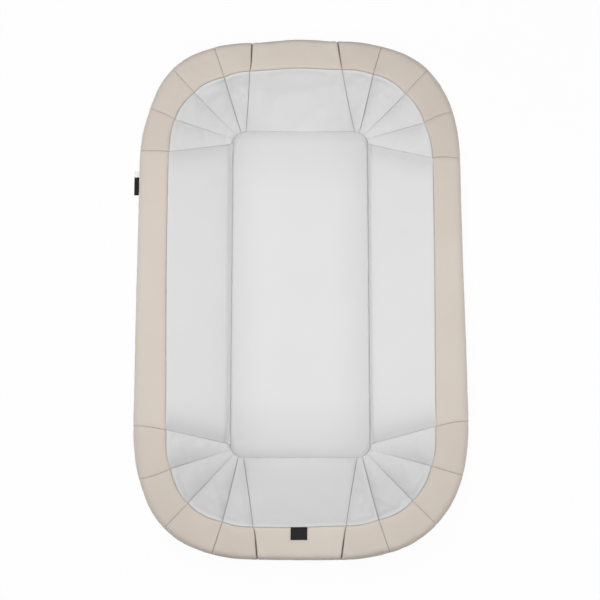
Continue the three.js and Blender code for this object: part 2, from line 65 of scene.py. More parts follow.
CLOTH = 2.4

# Seams of a corner on the floor's ring, the rim's inner and its outer one, from the side wall
# round to the end wall, as shares of the quarter turn. On the last two rings they stray a little
RING_SEAMS = [
    [0, 0.25, 0.5, 0.75, 1],
    [0.1, 0.308, 0.515, 0.74, 0.935],
    [0.069, 0.288, 0.512, 0.751, 0.968],
]
LAST_SEAM = len(RING_SEAMS[0]) - 1
SEAM_STRAY = {
    "head_left": [0.026, 0.006, -0.006, -0.018, -0.036],
    "head_right": [-0.011, -0.008, -0.007, 0.007, 0.022],
    "foot_left": [0.001, 0.01, 0.011, 0.009, 0.002],
    "foot_right": [-0.017, -0.007, 0.001, 0.002, 0.013],
}

# How far the stuffed rim stands out beyond its plain outline: at the seams, and at a wall's middle
EDGE_STAND = {
    "head_left": [1, -2, 0, -3.7, -5],
    "head_right": [0, 0, -1, -4.5, -2.4],
    "foot_left": [2, 3, 6, 4.5, 5.2],
    "foot_right": [4, 3.5, 2, 2.5, 5.5],
}
MIDDLE_STAND = {"right": 1.5, "head": 0, "left": 1.8, "foot": 6.2}

# How far the rim's inner seam is drawn in towards the floor, at the same places
INNER_DRAW = {
    "head_left": [1.3, 0, 4.6, 8.6, 6.3],
    "head_right": [0.4, 3.8, 6.7, 5.4, 4.2],
    "foot_left": [5, 2.1, -1, 1.4, 0],
    "foot_right": [3.3, 1.7, 2.1, 4.2, 2.1],
}
MIDDLE_DRAW = {"right": 1.2, "head": 1.7, "left": 1.8, "foot": 0}

# How far a seam of the rim bends towards the end wall on its way outwards. The last one bends early
SEAM_BEND = {
    "head_left": [0.5, 1.8, 0, 0, 1.6],
    "head_right": [2, 2, 0, 0, 0.3],
    "foot_left": [-1.2, 1.5, 0, 0, 1.8],
    "foot_right": [-2, 0, 0, 0, 0.6],
}
LAST_BEND_POWER = 0.46
CORNERS = {"head_right": (1, 1), "head_left": (-1, 1),
           "foot_left": (-1, -1), "foot_right": (1, -1)}


# Ways to rise from 0 to 1, and small sums

def roll(distance, radius):
    """Rises from a seam up to a radius from it, round as stuffing makes it."""
    share = np.clip(distance / radius, 0, 1)
    return np.sqrt(1 - (1 - share) ** 2)


def soft_rise(distance, radius):
    """Rises from a seam up to a radius from it, at an even change of slope."""
    share = np.clip(distance / radius, 0, 1)
    return 1 - (1 - share) ** 2


def ramp(place, start, length):
    """Rises from a start over a length, level at both ends."""
    share = np.clip((place - start) / length, 0, 1)
    return share * share * (3 - 2 * share)


def clustered(count):
    """Shares from 0 to 1, closer together towards both ends."""
    return (1 - np.cos(np.linspace(0, math.pi, count))) / 2


def lengths(vectors):
    return np.linalg.norm(vectors, axis=-1)


def unit(vectors):
    return vectors / lengths(vectors)[..., None]


def run_along(points):
    """How far along its line each point lies. A grid has many lines."""
    steps = lengths(np.diff(points, axis=-2))
    return np.cumsum(np.concatenate([0 * steps[..., :1], steps], axis=-1), axis=-1)


def stacked(*parts):
    """Grids, lines or numbers side by side, such as the coordinates of points."""
    return np.stack(np.broadcast_arrays(*parts), axis=-1)


def raised(plan, height):
    return stacked(plan[..., 0], plan[..., 1], height)


# Plan curves

def corner_point(half, centre_y, corner, share):
    """Points of a ring in one corner, at shares of the quarter turn from its side to its end."""
    angle = np.asarray(share) * math.pi / 2
    cos, sin = np.cos(angle), np.sin(angle)
    reach = (cos**CORNER_EXPONENT + sin**CORNER_EXPONENT) ** (-1 / CORNER_EXPONENT)
    run = half - STRAIGHT_HALF
    x = STRAIGHT_HALF[0] + run[0] * reach * cos
    y = STRAIGHT_HALF[1] + run[1] * reach * sin
    return stacked(corner[0] * x, centre_y + corner[1] * y)


def reach_beside(half, place, along):
    """How far out a ring lies at places along its straight run or just into a corner."""
    run = half - STRAIGHT_HALF
    into = np.maximum(0, np.abs(place) - STRAIGHT_HALF[along]) / run[along]
    share = (1 - into**CORNER_EXPONENT) ** (1 / CORNER_EXPONENT)
    return STRAIGHT_HALF[1 - along] + run[1 - along] * share


def straight_point(half, centre_y, sign, along, place):
    """Points of a ring on one side, at places along it."""
    centre = (0, centre_y)
    out = centre[1 - along] + sign * reach_beside(half, place - centre[along], along)
    return stacked(out, place) if along else stacked(place, out)


def floor_corner_point(corner, share):
    """Points of the seam round the floor in one corner."""
    angle = np.asarray(share) * math.pi / 2
    radius = FLOOR_CORNER + FLOOR_END_GAP
    x = FLOOR_HALF[0] - FLOOR_CORNER + radius * np.cos(angle)
    y = FLOOR_HALF[1] - FLOOR_CORNER + radius * np.sin(angle)
    return stacked(corner[0] * x, FLOOR_SHIFT + corner[1] * y)


# Panels of the wall. A ray runs out from the floor's seam, over the rim's inner seam, to its edge

class Panel:
    """A stuffed panel of the wall between two seams. Its rays are given at shares of its width.

    Each of its ends names a corner and one of the corner's seams, counted from the side wall, and
    says whether the panel lies on that seam's side towards the side wall.
    """

    def __init__(self, wall, plain_rays, ends, bow):
        self.wall = wall
        self.plain_rays = plain_rays
        self.ends = ends
        self.bow = bow

    def eased(self, at_seams, at_middles, shares):
        """A size given at the seams and at a straight wall's middle, eased over the panel."""
        first, last = [at_seams[corner][seam] for corner, seam, _ in self.ends]
        even = first + (last - first) * (1 - np.cos(math.pi * shares)) / 2
        middle = at_middles.get(self.wall, (first + last) / 2) - (first + last) / 2
        return even + middle * np.sin(math.pi * shares) ** 2

    def stand(self, shares):
        """How far the rim stands out beyond its plain outline."""
        return self.eased(EDGE_STAND, MIDDLE_STAND, shares)

    def rays(self, shares):
        floor, inner, edge = self.plain_rays(shares)
        way = unit(edge - inner)
        draw = self.eased(INNER_DRAW, MIDDLE_DRAW, shares)
        return floor, inner - way * draw[:, None], edge + way * self.stand(shares)[:, None]

    def bends(self, across):
        """Sideways moves of the seams at both ends, at shares of the rim's band."""
        moves = []
        for (corner, seam, _), share in zip(self.ends, (0.0, 1.0)):
            _, inner, edge = self.rays(np.array([share]))
            way = unit(edge - inner)[0]
            side = CORNERS[corner][0] * CORNERS[corner][1] * np.array([-way[1], way[0]])
            run = np.clip(across, 0, 1) ** (LAST_BEND_POWER if seam == LAST_SEAM else 1)
            moves.append(SEAM_BEND[corner][seam] * np.sin(math.pi * run)[:, None] * side)
        return moves

    def at_ends(self, sizes):
        """The sizes that a table gives for the seams at both ends of the panel."""
        return [sizes[towards_side][seam] for _, seam, towards_side in self.ends]


def corner_rays(name, seams):
    """Points of a corner's three rings, at a share of the quarter turn on each."""
    corner, (floor, inner, outer) = CORNERS[name], seams
    return (
        floor_corner_point(corner, floor),
        corner_point(INNER_HALF, INNER_CENTRE_Y, corner, inner),
        corner_point(RIM_HALF, 0, corner, outer),
    )


def strayed(name, index):
    stray = SEAM_STRAY[name][index]
    return np.array([seams[index] for seams in RING_SEAMS]) + [0, stray, stray]


# How far the rim's inner seam bows out between the seams of a wedge
WEDGE_BOW = 1.2


def wedge(name, index, turned):
    """A wedge of a corner's fan. A turned one runs from the end wall to the side wall."""
    first, second = strayed(name, index)[:, None], strayed(name, index + 1)[:, None]

    def rays(shares):
        return corner_rays(name, first + (second - first) * (1 - shares if turned else shares))

    ends = [(name, index, False), (name, index + 1, True)]
    return Panel(name, rays, ends[::-1] if turned else ends, WEDGE_BOW)


def fan(name, turned=False):
    """The wedges of a corner, in their order round the wall."""
    wedges = [wedge(name, index, turned) for index in range(LAST_SEAM)]
    return wedges[::-1] if turned else wedges


SIDE_WALLS = ("left", "right")


def straight_panel(wall, first, second, sign):
    along = 1 if wall in SIDE_WALLS else 0
    seam = 0 if along else LAST_SEAM
    start, end = [corner_rays(name, strayed(name, seam)) for name in (first, second)]

    def rays(shares):
        def ring(number, half, centre_y):
            from_place, to_place = start[number][along], end[number][along]
            place = from_place + (to_place - from_place) * shares
            return straight_point(half, centre_y, sign, along, place)

        floor = start[0] + (end[0] - start[0]) * shares[:, None]
        return floor, ring(1, INNER_HALF, INNER_CENTRE_Y), ring(2, RIM_HALF, 0)

    return Panel(wall, rays, [(first, seam, bool(along)), (second, seam, bool(along))], 0)


WALL = [
    straight_panel("right", "foot_right", "head_right", 1), *fan("head_right"),
    straight_panel("head", "head_right", "head_left", 1), *fan("head_left", turned=True),
    straight_panel("left", "head_left", "foot_left", -1), *fan("foot_left"),
    straight_panel("foot", "foot_left", "foot_right", -1), *fan("foot_right", turned=True),
]


# Surfaces of a panel over its rays, as grids of points: across the panel, then outwards

LINING_CROWN = 3.0
LINING_SIDE_GAP = 0.6
LINING_SIDE_FLOOR_ROLL = 3.0
LINING_END_FLOOR_ROLL = 12.0
LINING_RIM_ROLL = 8.0
LINING_DEPTH = 5.2
END_SAG = 8.0
RIM_SEAM_LIFT = 2.6
DEPTH_AT_SEAM = 0.3


def grid_normals(points):
    """Normals that point away from the stuffing."""
    outward = np.gradient(points, axis=1)
    along = np.gradient(points, axis=0)
    return unit(np.cross(outward, along))


def bowed(panel, shares, floor, inner):
    """The rim's inner seam, drawn in a little at a wedge's ends and let out between them."""
    bow = panel.bow * (4 * shares * (1 - shares) - 0.5)
    return inner + unit(inner - floor) * bow[:, None]


def lining_surface(panel, shares, ups):
    """The lining without its side seams, which way it faces, how deep it is stuffed, and how much
    its seams may draw it in."""
    floor, inner, _ = panel.rays(shares)
    inner = bowed(panel, shares, floor, inner)
    way = lengths(inner - floor)[:, None]
    rise = INNER_HEIGHT + RIM_SEAM_LIFT - VALLEY
    slope = np.hypot(way, rise)
    beside_pad = panel.wall in SIDE_WALLS
    gap = LINING_SIDE_GAP if beside_pad else FLOOR_END_GAP
    floor_roll = LINING_SIDE_FLOOR_ROLL if beside_pad else LINING_END_FLOOR_ROLL
    ups = gap / slope + ups * (1 - (gap + SEAM_HALF_GAP) / slope)
    plan = floor[:, None] + (inner - floor)[:, None] * ups[..., None]
    crown = roll(ups * slope, floor_roll) * roll((1 - ups) * slope, LINING_RIM_ROLL)
    out = unit(inner - floor)[:, None]
    normal = raised(-out * (rise / slope)[..., None], way / slope)
    sag = END_SAG * out[..., 1:] ** 2 * (4 * ups * (1 - ups))[..., None]
    top = raised(plan, VALLEY + ups * rise) + normal * ((crown * LINING_CROWN)[..., None] - sag)
    return top, np.broadcast_to(normal, top.shape), DEPTH_AT_SEAM + crown * LINING_DEPTH, crown


RIM_BAND = 48.0
RIM_START_ROLL = 5.0
RIM_FLAT = 37.0
RIM_REACH = 2.0
RIM_EXPONENT = 2.6
RIM_DEPTH = 6.0
# Height above the side seam over which the rim gets its full depth
RIM_LOWER_RISE = 12.0


def rim_profile(shares):
    """Distance out and height of the rim's section, at shares of its length."""
    turn = np.linspace(0, math.pi / 2, 80)
    start = stacked(
        RIM_START_ROLL * (1 - np.cos(turn)),
        RIM_HEIGHT - (RIM_HEIGHT - INNER_HEIGHT - RIM_SEAM_LIFT) * (1 - np.sin(turn)),
    )
    shoulder = stacked(
        RIM_FLAT + (RIM_BAND + RIM_REACH - RIM_FLAT) * np.sin(turn) ** (2 / RIM_EXPONENT),
        SIDE_SEAM_HEIGHT + (RIM_HEIGHT - SIDE_SEAM_HEIGHT) * np.cos(turn) ** (2 / RIM_EXPONENT),
    )
    line = np.concatenate([start, shoulder])
    run = run_along(line)
    place = SEAM_HALF_GAP + shares * (run[-1] - 2 * SEAM_HALF_GAP)
    return [np.interp(place, run, column) for column in line.T]


def rim_surface(panel, shares, outs):
    """The same of the rim."""
    floor, inner, edge = panel.rays(shares)
    bow = bowed(panel, shares, floor, inner) - inner
    across, height = rim_profile(outs)
    share = across / RIM_BAND
    plan = inner[:, None] + (edge - inner)[:, None] * share[:, None]
    plan = plan + bow[:, None] * np.clip(1 - share, 0, 1)[:, None]
    first, last = panel.bends(share)
    plan = plan + first * (1 - shares)[:, None, None] + last * shares[:, None, None]
    top = raised(plan, height)
    lower = np.clip((height - SIDE_SEAM_HEIGHT) / RIM_LOWER_RISE, 0, 1)
    hold = roll(across, RIM_START_ROLL) * lower
    return top, grid_normals(top), DEPTH_AT_SEAM + RIM_DEPTH * hold, hold


SURFACES = {"lining": lining_surface, "rim": rim_surface}

# How the seams of a corner draw the padding in, from its side wall round to its end wall. Each
# table has a row for a seam's side towards the end wall and one for its side towards the side
# wall. The cloth rolls into a seam over the length in SEAM_ROLL, softly if the length is great
SEAM_ROLL = {"lining": [[5, 5, 5, 4, 9], [44, 42, 36, 24, 16]],
             "rim": [[8, 9, 8, 5, 4], [9, 8, 8, 5, 4]]}
SOFT_ROLL_OVER = 7
SEAM_DIP = {"lining": [[1.0, 1.0, 1.0, 1.4, 2.0], [6, 6, 5, 3.4, 2.4]],
            "rim": [[1.1, 1.2, 0.8, 0.9, 2.4], [1.1, 0.9, 0.8, 0.9, 2.4]]}
SEAM_HALF_GAPS = {"lining": [[0.06, 0.06, 0.06, 0.2, 0.2]] * 2, "rim": [[0.2] * 5] * 2}
SEAM_OPENING = {"lining": [[0, 0, 0, 0, 0.1]] * 2, "rim": [[0, 0, 0, 0, 0.65]] * 2}
SEAM_SHADE = {"lining": [[0.05, 0.05, 0.1, 0.8, 0.7]] * 2, "rim": [[0.5, 0.5, 0.45, 0.7, 1]] * 2}
SEAM_SHADE_WIDTH = 1.2
LEAST_SHADE = 0.35
# The seams where a grid starts and ends are shaded less, as if they lay this much further off
CROSS_SEAM_OFFSET = 0.4
BACK_FOLLOWS = 0.75
BACK = 1.2

# How deep the lining of each corner is quilted, against the deepest one
CORNER_DEPTH = {"head_left": 0.6, "head_right": 0.65, "foot_left": 1, "foot_right": 0.9}

# Where things start on a seam's way outwards and over which length they run, as shares of the way
LINING_SEAM_SHOWS = (-0.016, 0.08)
RIM_SEAM_FADES = (0.45, 0.3)
RIM_LAST_SEAM_FADES = (0.6, 0.3)
SEAM_OPENS = (0.08, 0.35)
SEAM_CLOSES = (0.55, 0.3)


def seam_shows(panel, kind, outs):
    """How plainly the seams at both ends show on their way outwards."""
    if kind == "lining":
        return [ramp(outs, *LINING_SEAM_SHOWS)] * 2
    return [1 - ramp(outs, *(RIM_LAST_SEAM_FADES if seam == LAST_SEAM else RIM_SEAM_FADES))
            for _, seam, _ in panel.ends]


def drawn_in(panel, kind, shares, outs, width, hold):
    """How deep both side seams draw a panel in."""
    rolls, dips = panel.at_ends(SEAM_ROLL[kind]), panel.at_ends(SEAM_DIP[kind])
    shrink = np.minimum(1, width / sum(rolls))
    inward = 0
    sides = zip((shares, 1 - shares), rolls, dips, seam_shows(panel, kind, outs), panel.ends)
    for share, radius, dip, shows, (corner, _, _) in sides:
        rise = soft_rise if radius > SOFT_ROLL_OVER else roll
        held = rise(share[:, None] * width, radius * shrink)
        if kind == "lining":
            dip = dip * CORNER_DEPTH[corner]
        inward = inward + dip * shrink * shows * hold * (1 - held)
    return inward


def sewn(panel, kind, shares, outs, below=0.0):
    """The front of a panel, drawn in along both side seams, what lies at a depth below its back,
    and how deep each point is drawn in."""
    top, normal, depth, hold = SURFACES[kind](panel, shares, outs)
    width = lengths(top[-1] - top[0])[None]
    inward = drawn_in(panel, kind, shares, outs, width, hold)
    under = depth + BACK + below + BACK_FOLLOWS * inward
    return top - normal * inward[..., None], top - normal * under[..., None], inward


def opened(panel, kind, grid, shares, outs):
    """Draws a grid back from both side seams, which gape where the cloth is stretched."""
    chord = unit(grid[-1] - grid[0])
    gape = ramp(outs, *SEAM_OPENS) * (1 - ramp(outs, *SEAM_CLOSES))
    gaps, openings = panel.at_ends(SEAM_HALF_GAPS[kind]), panel.at_ends(SEAM_OPENING[kind])
    first, last = [gap + opening * gape for gap, opening in zip(gaps, openings)]
    back_from_first = np.clip(1 - shares * 2, 0, 1)[:, None] * first
    back_from_last = np.clip(shares * 2 - 1, 0, 1)[:, None] * last
    return grid + chord * (back_from_first - back_from_last)[..., None]


# Stuffing: cloth pinned along its seams and pressed out from below

def carried(moves, shares, ups):
    """Moves on an even grid, read smoothly at other places of it."""
    def weights(count, places):
        place = places * (count - 1)
        base = np.clip(np.floor(place).astype(int), 0, count - 2)
        t = place - base
        parts = [-t + 2 * t**2 - t**3, 2 - 5 * t**2 + 3 * t**3,
                 t + 4 * t**2 - 3 * t**3, t**3 - t**2]
        matrix = np.zeros((len(places), count))
        for offset, part in enumerate(parts):
            column = np.clip(base + offset - 1, 0, count - 1)
            np.add.at(matrix, (np.arange(len(places)), column), part / 2)
        return matrix

    across, outwards = weights(moves.shape[0], shares), weights(moves.shape[1], ups)
    return np.einsum("ai,ijk,bj->abk", across, moves, outwards)


def grid_quads(rows, columns, ring=False):
    i, j = np.arange(rows if ring else rows - 1)[:, None], np.arange(columns - 1)
    this, following = i * columns + j, (i + 1) % rows * columns + j
    return stacked(this, this + 1, following + 1, following).reshape(-1, 4)


def border_of(grid):
    """A grid's border, once round and back to its start."""
    return np.concatenate([grid[0], grid[1:, -1], grid[-1, -2::-1], grid[-2::-1, 0]])


def placed(name, data):
    """A new object of the scene."""
    thing = bpy.data.objects.new(name, data)
    bpy.context.scene.collection.objects.link(thing)
    return thing


def joined(name, parts, faces):
    """An object made of parts, each a list of points in millimetres with faces of its own."""
    starts = np.cumsum([0] + [len(part) for part in parts])
    quads = np.concatenate([face + start for face, start in zip(faces, starts)])
    mesh = bpy.data.meshes.new(name)
    mesh.from_pydata((np.concatenate(parts) / 1000).tolist(), [], quads.tolist())
    return placed(name, mesh)


PRESS_FRAMES = 20
PRESS_SETTINGS = {
    "quality": 4,
    "mass": 0.3,
    "tension_stiffness": 12,
    "compression_stiffness": 8,
    "shear_stiffness": 4,
    "bending_stiffness": 0.6,
    "vertex_group_mass": "sewn",
    "shrink_min": -0.012,
    "use_pressure": True,
    "uniform_pressure_force": 1.2,
}


def pressed_out(grids, limits):
    """How far each grid's points move when stuffed, up to its limit. Its border stays sewn."""
    shapes = [grid.shape[:2] for grid in grids]
    trial = joined("cloth_trial", [grid.reshape(-1, 3) for grid in grids],
                   [grid_quads(*shape) for shape in shapes])
    border = np.concatenate([np.pad(np.zeros((rows - 2, columns - 2)), 1, constant_values=1).ravel()
                             for rows, columns in shapes])
    trial.vertex_groups.new(name="sewn").add(np.flatnonzero(border).tolist(), 1, "REPLACE")
    before, after = np.empty((2, len(border) * 3), np.float32)
    trial.data.vertices.foreach_get("co", before)
    cloth = trial.modifiers.new("cloth", "CLOTH")
    for name, value in PRESS_SETTINGS.items():
        setattr(cloth.settings, name, value)
    cloth.settings.effector_weights.gravity = 0
    cloth.point_cache.frame_start = 1
    cloth.point_cache.frame_end = PRESS_FRAMES
    for number in range(1, PRESS_FRAMES + 1):
        bpy.context.scene.frame_set(number)
    shaped = trial.evaluated_get(bpy.context.evaluated_depsgraph_get()).data
    shaped.vertices.foreach_get("co", after)
    moves = (after.astype(float) - before).reshape(-1, 3) * 1000
    bpy.data.objects.remove(trial)
    bpy.context.scene.frame_set(1)
    starts = np.cumsum([rows * columns for rows, columns in shapes])[:-1]
    result = []
    for grid, limit, move in zip(grids, limits, np.split(moves, starts)):
        furthest = max(lengths(move).max(), limit)
        result.append(move.reshape(grid.shape) * limit / furthest)
    return result


# Meshes

class Form:
    """A closed body in the making: its points, its faces, where each point lies on the cloth, and
    how much painted shade it gets, mostly by how deep it lies in a hollow, as a share of the
    deepest."""

    def __init__(self, points, quads, weave, hollow=None):
        self.points = points.reshape(-1, 3)
        self.quads = quads
        self.weave = weave.reshape(-1, 3)
        self.hollow = np.zeros(len(self.points)) if hollow is None else hollow.ravel()


def closed_form(front, back, weave, ring=False, hollow=None):
    """A front and a back over the same grid, joined along the borders."""
    rows, columns = front.shape[:2]
    total = rows * columns
    index = np.arange(total).reshape(rows, columns)
    front_quads = grid_quads(rows, columns, ring)
    quads = [front_quads, front_quads[:, ::-1] + total]
    if ring:
        borders = [np.append(index[::-1, 0], index[-1, 0]), np.append(index[:, -1], index[0, -1])]
    else:
        borders = [border_of(index)]
    for border in borders:
        first, second = border[:-1], border[1:]
        quads.append(stacked(second, first, first + total, second + total))
    points = np.concatenate([front.reshape(-1, 3), back.reshape(-1, 3)])
    if hollow is not None:
        hollow = np.concatenate([hollow, hollow])
    return Form(points, np.concatenate(quads), np.concatenate([weave.reshape(-1, 3)] * 2), hollow)


def make_piece(name, forms, finish, nodes=(), body="cushion", sharp=50):
    """A piece of one or more closed bodies and the solids that it stands for."""
    piece = joined(name, [form.points for form in forms], [form.quads for form in forms])
    mesh = piece.data
    attributes = [
        ("weave", "FLOAT_VECTOR", "vector", [form.weave for form in forms]),
        ("hollow", "FLOAT", "value", [form.hollow for form in forms]),
    ]
    for title, kind, field, values in attributes:
        values = np.concatenate(values).astype(np.float32).ravel()
        mesh.attributes.new(title, kind, "POINT").data.foreach_set(field, values)
    mesh.polygons.foreach_set("use_smooth", [True] * len(mesh.polygons))
    mesh.set_sharp_from_angle(angle=math.radians(sharp))
    mesh.materials.append(FINISHES[finish])
    if body:
        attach(piece, body)
    if nodes:
        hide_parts(*nodes)
    return piece


def cloth_places(points, shares, seam_distance):
    """Where points lie on flat cloth: across from its middle, outwards, and to the next seam."""
    width = lengths(np.diff(points, axis=0)).sum(axis=0)
    across = (shares[:, None] - 0.5) * width[None]
    return stacked(across, run_along(points), seam_distance) / 1000


def seam_distances(points, shares, shades=(1.0, 1.0), hidden=False):
    """Distance to the next seam. A seam of less shade counts as a little further away.

    The seam where the grid starts may be hidden under its neighbour.
    """
    width = lengths(points[-1] - points[0])[None]
    out = run_along(points)
    first, last = [(1 - shade) * SEAM_SHADE_WIDTH for shade in shades]
    sides = np.minimum(shares[:, None] * width + first, (1 - shares[:, None]) * width + last)
    start = SEAM_SHADE_WIDTH if hidden else CROSS_SEAM_OFFSET
    return np.minimum(sides, np.minimum(out + start, out[:, -1:] - out + CROSS_SEAM_OFFSET))


# Finishes

class Shade:
    """A socket of a finish. Sums of shades and numbers become Math nodes."""

    def __init__(self, tree, socket=None):
        self.tree = tree
        self.socket = socket

    def node(self, kind, inputs=None, output=0, **settings):
        """Adds a node: first its settings, then values or links for its sockets."""
        node = self.tree.nodes.new(kind)
        for name, value in settings.items():
            setattr(node, name, value)
        for key, value in (inputs or {}).items():
            if isinstance(value, Shade):
                self.tree.links.new(value.socket, node.inputs[key])
            else:
                node.inputs[key].default_value = value
        return Shade(self.tree, node.outputs[output])

    def math(self, operation, *values):
        return self.node("ShaderNodeMath", dict(enumerate(values)), operation=operation)

    def __add__(self, other):
        return self.math("ADD", self, other)

    def __sub__(self, other):
        return self.math("SUBTRACT", self, other)

    def __rsub__(self, other):
        return self.math("SUBTRACT", other, self)

    def __mul__(self, other):
        return self.math("MULTIPLY", self, other)

    def __truediv__(self, other):
        return self.math("DIVIDE", self, other)

    __radd__ = __add__

    def cos(self):
        return self.math("COSINE", self)

    def limited(self):
        return self.node("ShaderNodeClamp", {0: self})


def linear(value):
    """A colour as it is seen, from 0 to 255, as light."""
    value /= 255
    return value / 12.92 if value <= 0.04045 else ((value + 0.055) / 1.055) ** 2.4


def colour(red, green, blue):
    return (linear(red), linear(green), linear(blue), 1)


def grey(value):
    return colour(value, value, value)


class Finish:
    """A material in the making around one Principled shader."""

    def __init__(self, name, **constants):
        self.material = bpy.data.materials.new(name)
        self.material.use_nodes = True
        self.tree = self.material.node_tree
        self.shader = self.tree.nodes["Principled BSDF"]
        for key, value in constants.items():
            self.shader.inputs[key.replace("_", " ")].default_value = value
        self.start = Shade(self.tree)

    def weave(self):
        """Across the cloth, outwards on it, and the distance to the next seam, in metres."""
        place = self.start.node("ShaderNodeAttribute", output="Vector", attribute_name="weave")
        parts = self.start.node("ShaderNodeSeparateXYZ", {0: place})
        sockets = parts.socket.node.outputs
        return [Shade(self.tree, sockets[axis]) for axis in range(3)]

    def hollow(self):
        """How much painted shade the cloth gets, from 0 to 1, mostly by how deep it is drawn in."""
        return self.start.node("ShaderNodeAttribute", output="Fac", attribute_name="hollow")

    def place(self):
        return self.start.node("ShaderNodeTexCoord", output="Object")

    def noise(self, scale, detail=2.0):
        inputs = {"Vector": self.place(), "Scale": scale, "Detail": detail}
        return self.start.node("ShaderNodeTexNoise", inputs, output="Fac")

    def mixed(self, share, first, second):
        inputs = {0: share, 6: first, 7: second}
        return self.start.node("ShaderNodeMix", inputs, output=2, data_type="RGBA")

    def set(self, name, value):
        self.tree.links.new(value.socket, self.shader.inputs[name])

    def finished(self, base, relief, distance, strength, roughness=None):
        """The material with its colour, its relief over a distance in metres, and its roughness
        where that varies."""
        self.set("Base Color", base)
        if roughness is not None:
            self.set("Roughness", roughness)
        inputs = {"Height": relief, "Distance": distance, "Strength": strength}
        self.set("Normal", self.start.node("ShaderNodeBump", inputs))
        return self.material


# Patterns of cloth. Pitches and distances are in metres

def ripples(place, pitch):
    """Swings between 1 and -1, once in each pitch."""
    return (place * (2 * math.pi / pitch)).cos()


def waves(place, pitch):
    """Swings between 1 and 0, once in each pitch."""
    return (ripples(place, pitch) + 1) * 0.5


def close_to(distance, reach):
    """1 at a seam or edge, falling to 0 at a distance from it."""
    return (1 - distance / reach).limited()


def hexagon_mesh(across, out, pitch):
    """1 in the middle of each pore of a mesh and 0 between them."""
    turn = 2 * math.pi / pitch * 2 / math.sqrt(3)
    sideways, half = across * (turn * math.sqrt(3) / 2), out * (turn / 2)
    return ((out * turn).cos() + (sideways - half).cos() + (sideways + half).cos() + 1.5) / 4.5


def plain_weave(across, out, pitch):
    """1 on top of a thread and 0 between the threads of a cloth woven one over one under."""
    over = ripples(across, 2 * pitch) * ripples(out, 2 * pitch)
    return over.math("ABSOLUTE", over)


# The shade in a seam's crease reaches this far, in metres
CREASE = 0.0012


def spacer_mesh():
    finish = Finish("lining_mesh", Roughness=0.88, Sheen_Weight=0.15, Sheen_Roughness=0.6,
                    Specular_IOR_Level=0.25)
    across, out, seam = finish.weave()
    pores = hexagon_mesh(across, out, pitch=0.0021)
    tone = finish.noise(9.0) * 0.6 + finish.noise(420.0) * 0.4
    pale = finish.mixed(tone, grey(222), grey(227))
    lengthways = finish.start.node("ShaderNodeSeparateXYZ", {0: finish.place()}, output="Y")
    # Painted shade: the lining is darker towards the foot end and, less, towards the head end,
    # standing in for the shade on the end walls and the floor's ends
    painted_foot_shade = ((-0.18 - lengthways) / 0.14).limited()
    painted_head_shade = ((lengthways - 0.18) / 0.13).limited()
    pale = finish.mixed(painted_foot_shade + painted_head_shade * 0.55, pale, grey(207))
    cloth = finish.mixed(pores * 0.14, pale, colour(188, 189, 190))
    # Painted shade in the hollows where the seams draw the cloth in
    cloth = finish.mixed(finish.hollow() * 0.36, cloth, grey(150))
    cloth = finish.mixed(close_to(seam, CREASE) * 0.7, cloth, colour(130, 130, 132))
    return finish.finished(cloth, 1 - pores * 0.9 + tone * 0.3, 0.00025, 0.7,
                           roughness=0.86 + pores * 0.08)


def jersey():
    finish = Finish("beige_jersey", Roughness=0.8, Sheen_Weight=0.25, Sheen_Roughness=0.5,
                    Specular_IOR_Level=0.3)
    across, out, seam = finish.weave()
    ribs = ripples(across, pitch=0.0011)
    stitches = (out * (2 * math.pi / 0.0009) + ribs * 1.4).cos()
    knit = ribs * 0.3 + stitches * 0.2 + 0.5
    beige = finish.mixed(finish.noise(7.0), colour(205, 194, 183), colour(214, 205, 196))
    cloth = finish.mixed(knit * 0.1, beige, colour(185, 173, 161))
    # Painted shade in the hollows where the seams draw the cloth in, and over the rim's corners
    cloth = finish.mixed(finish.hollow() * 0.25, cloth, colour(150, 132, 121))
    cloth = finish.mixed(close_to(seam, CREASE) * 0.55, cloth, colour(120, 105, 92))
    return finish.finished(cloth, knit, 0.0002, 0.5, roughness=0.78 + knit * 0.1)


def foam():
    finish = Finish("foam", Roughness=0.95)
    cells = finish.noise(900.0, 3.0)
    cream = finish.mixed(cells, colour(232, 226, 210), colour(244, 240, 228))
    return finish.finished(cream, cells, 0.0004, 0.6)


def canvas():
    finish = Finish("base_cloth", Roughness=0.9, Sheen_Weight=0.1, Sheen_Roughness=0.6,
                    Specular_IOR_Level=0.25)
    across, out, edge = finish.weave()
    threads = plain_weave(across, out, pitch=0.0008)
    tone = finish.noise(6.0) * 0.5 + finish.noise(300.0) * 0.5
    cloth = finish.mixed(tone, colour(196, 188, 178), colour(206, 199, 190))
    worn = finish.mixed(close_to(edge, 0.004) * 0.3, cloth, colour(178, 168, 156))
    woven = finish.mixed((1 - threads) * 0.22, worn, colour(140, 131, 121))
    return finish.finished(woven, threads, 0.0002, 0.6, roughness=0.84 + threads * 0.1)


def tape():
    finish = Finish("zip_tape", Roughness=0.75, Specular_IOR_Level=0.35)
    across, out, _ = finish.weave()
    twill = waves(across + out, pitch=0.0011)
    cloth = finish.mixed(twill, colour(196, 186, 174), colour(212, 204, 194))
    cloth = finish.mixed(finish.noise(40.0) * 0.2, cloth, colour(186, 176, 164))
    return finish.finished(cloth, twill, 0.00015, 0.6, roughness=0.7 + twill * 0.12)


def thread():
    finish = Finish("sewing_thread", Roughness=0.6, Sheen_Weight=0.2)
    across, out, _ = finish.weave()
    ply = waves(across * 2 + out, pitch=0.0006)
    spun = finish.mixed(ply, colour(176, 165, 152), colour(214, 205, 194))
    return finish.finished(spun, ply, 0.0001, 0.5)


def coil():
    finish = Finish("zip_coil", Roughness=0.4)
    tone = finish.noise(500.0)
    nylon = finish.mixed(tone, colour(186, 177, 167), colour(200, 192, 183))
    return finish.finished(nylon, tone, 0.00003, 0.3, roughness=0.32 + tone * 0.2)


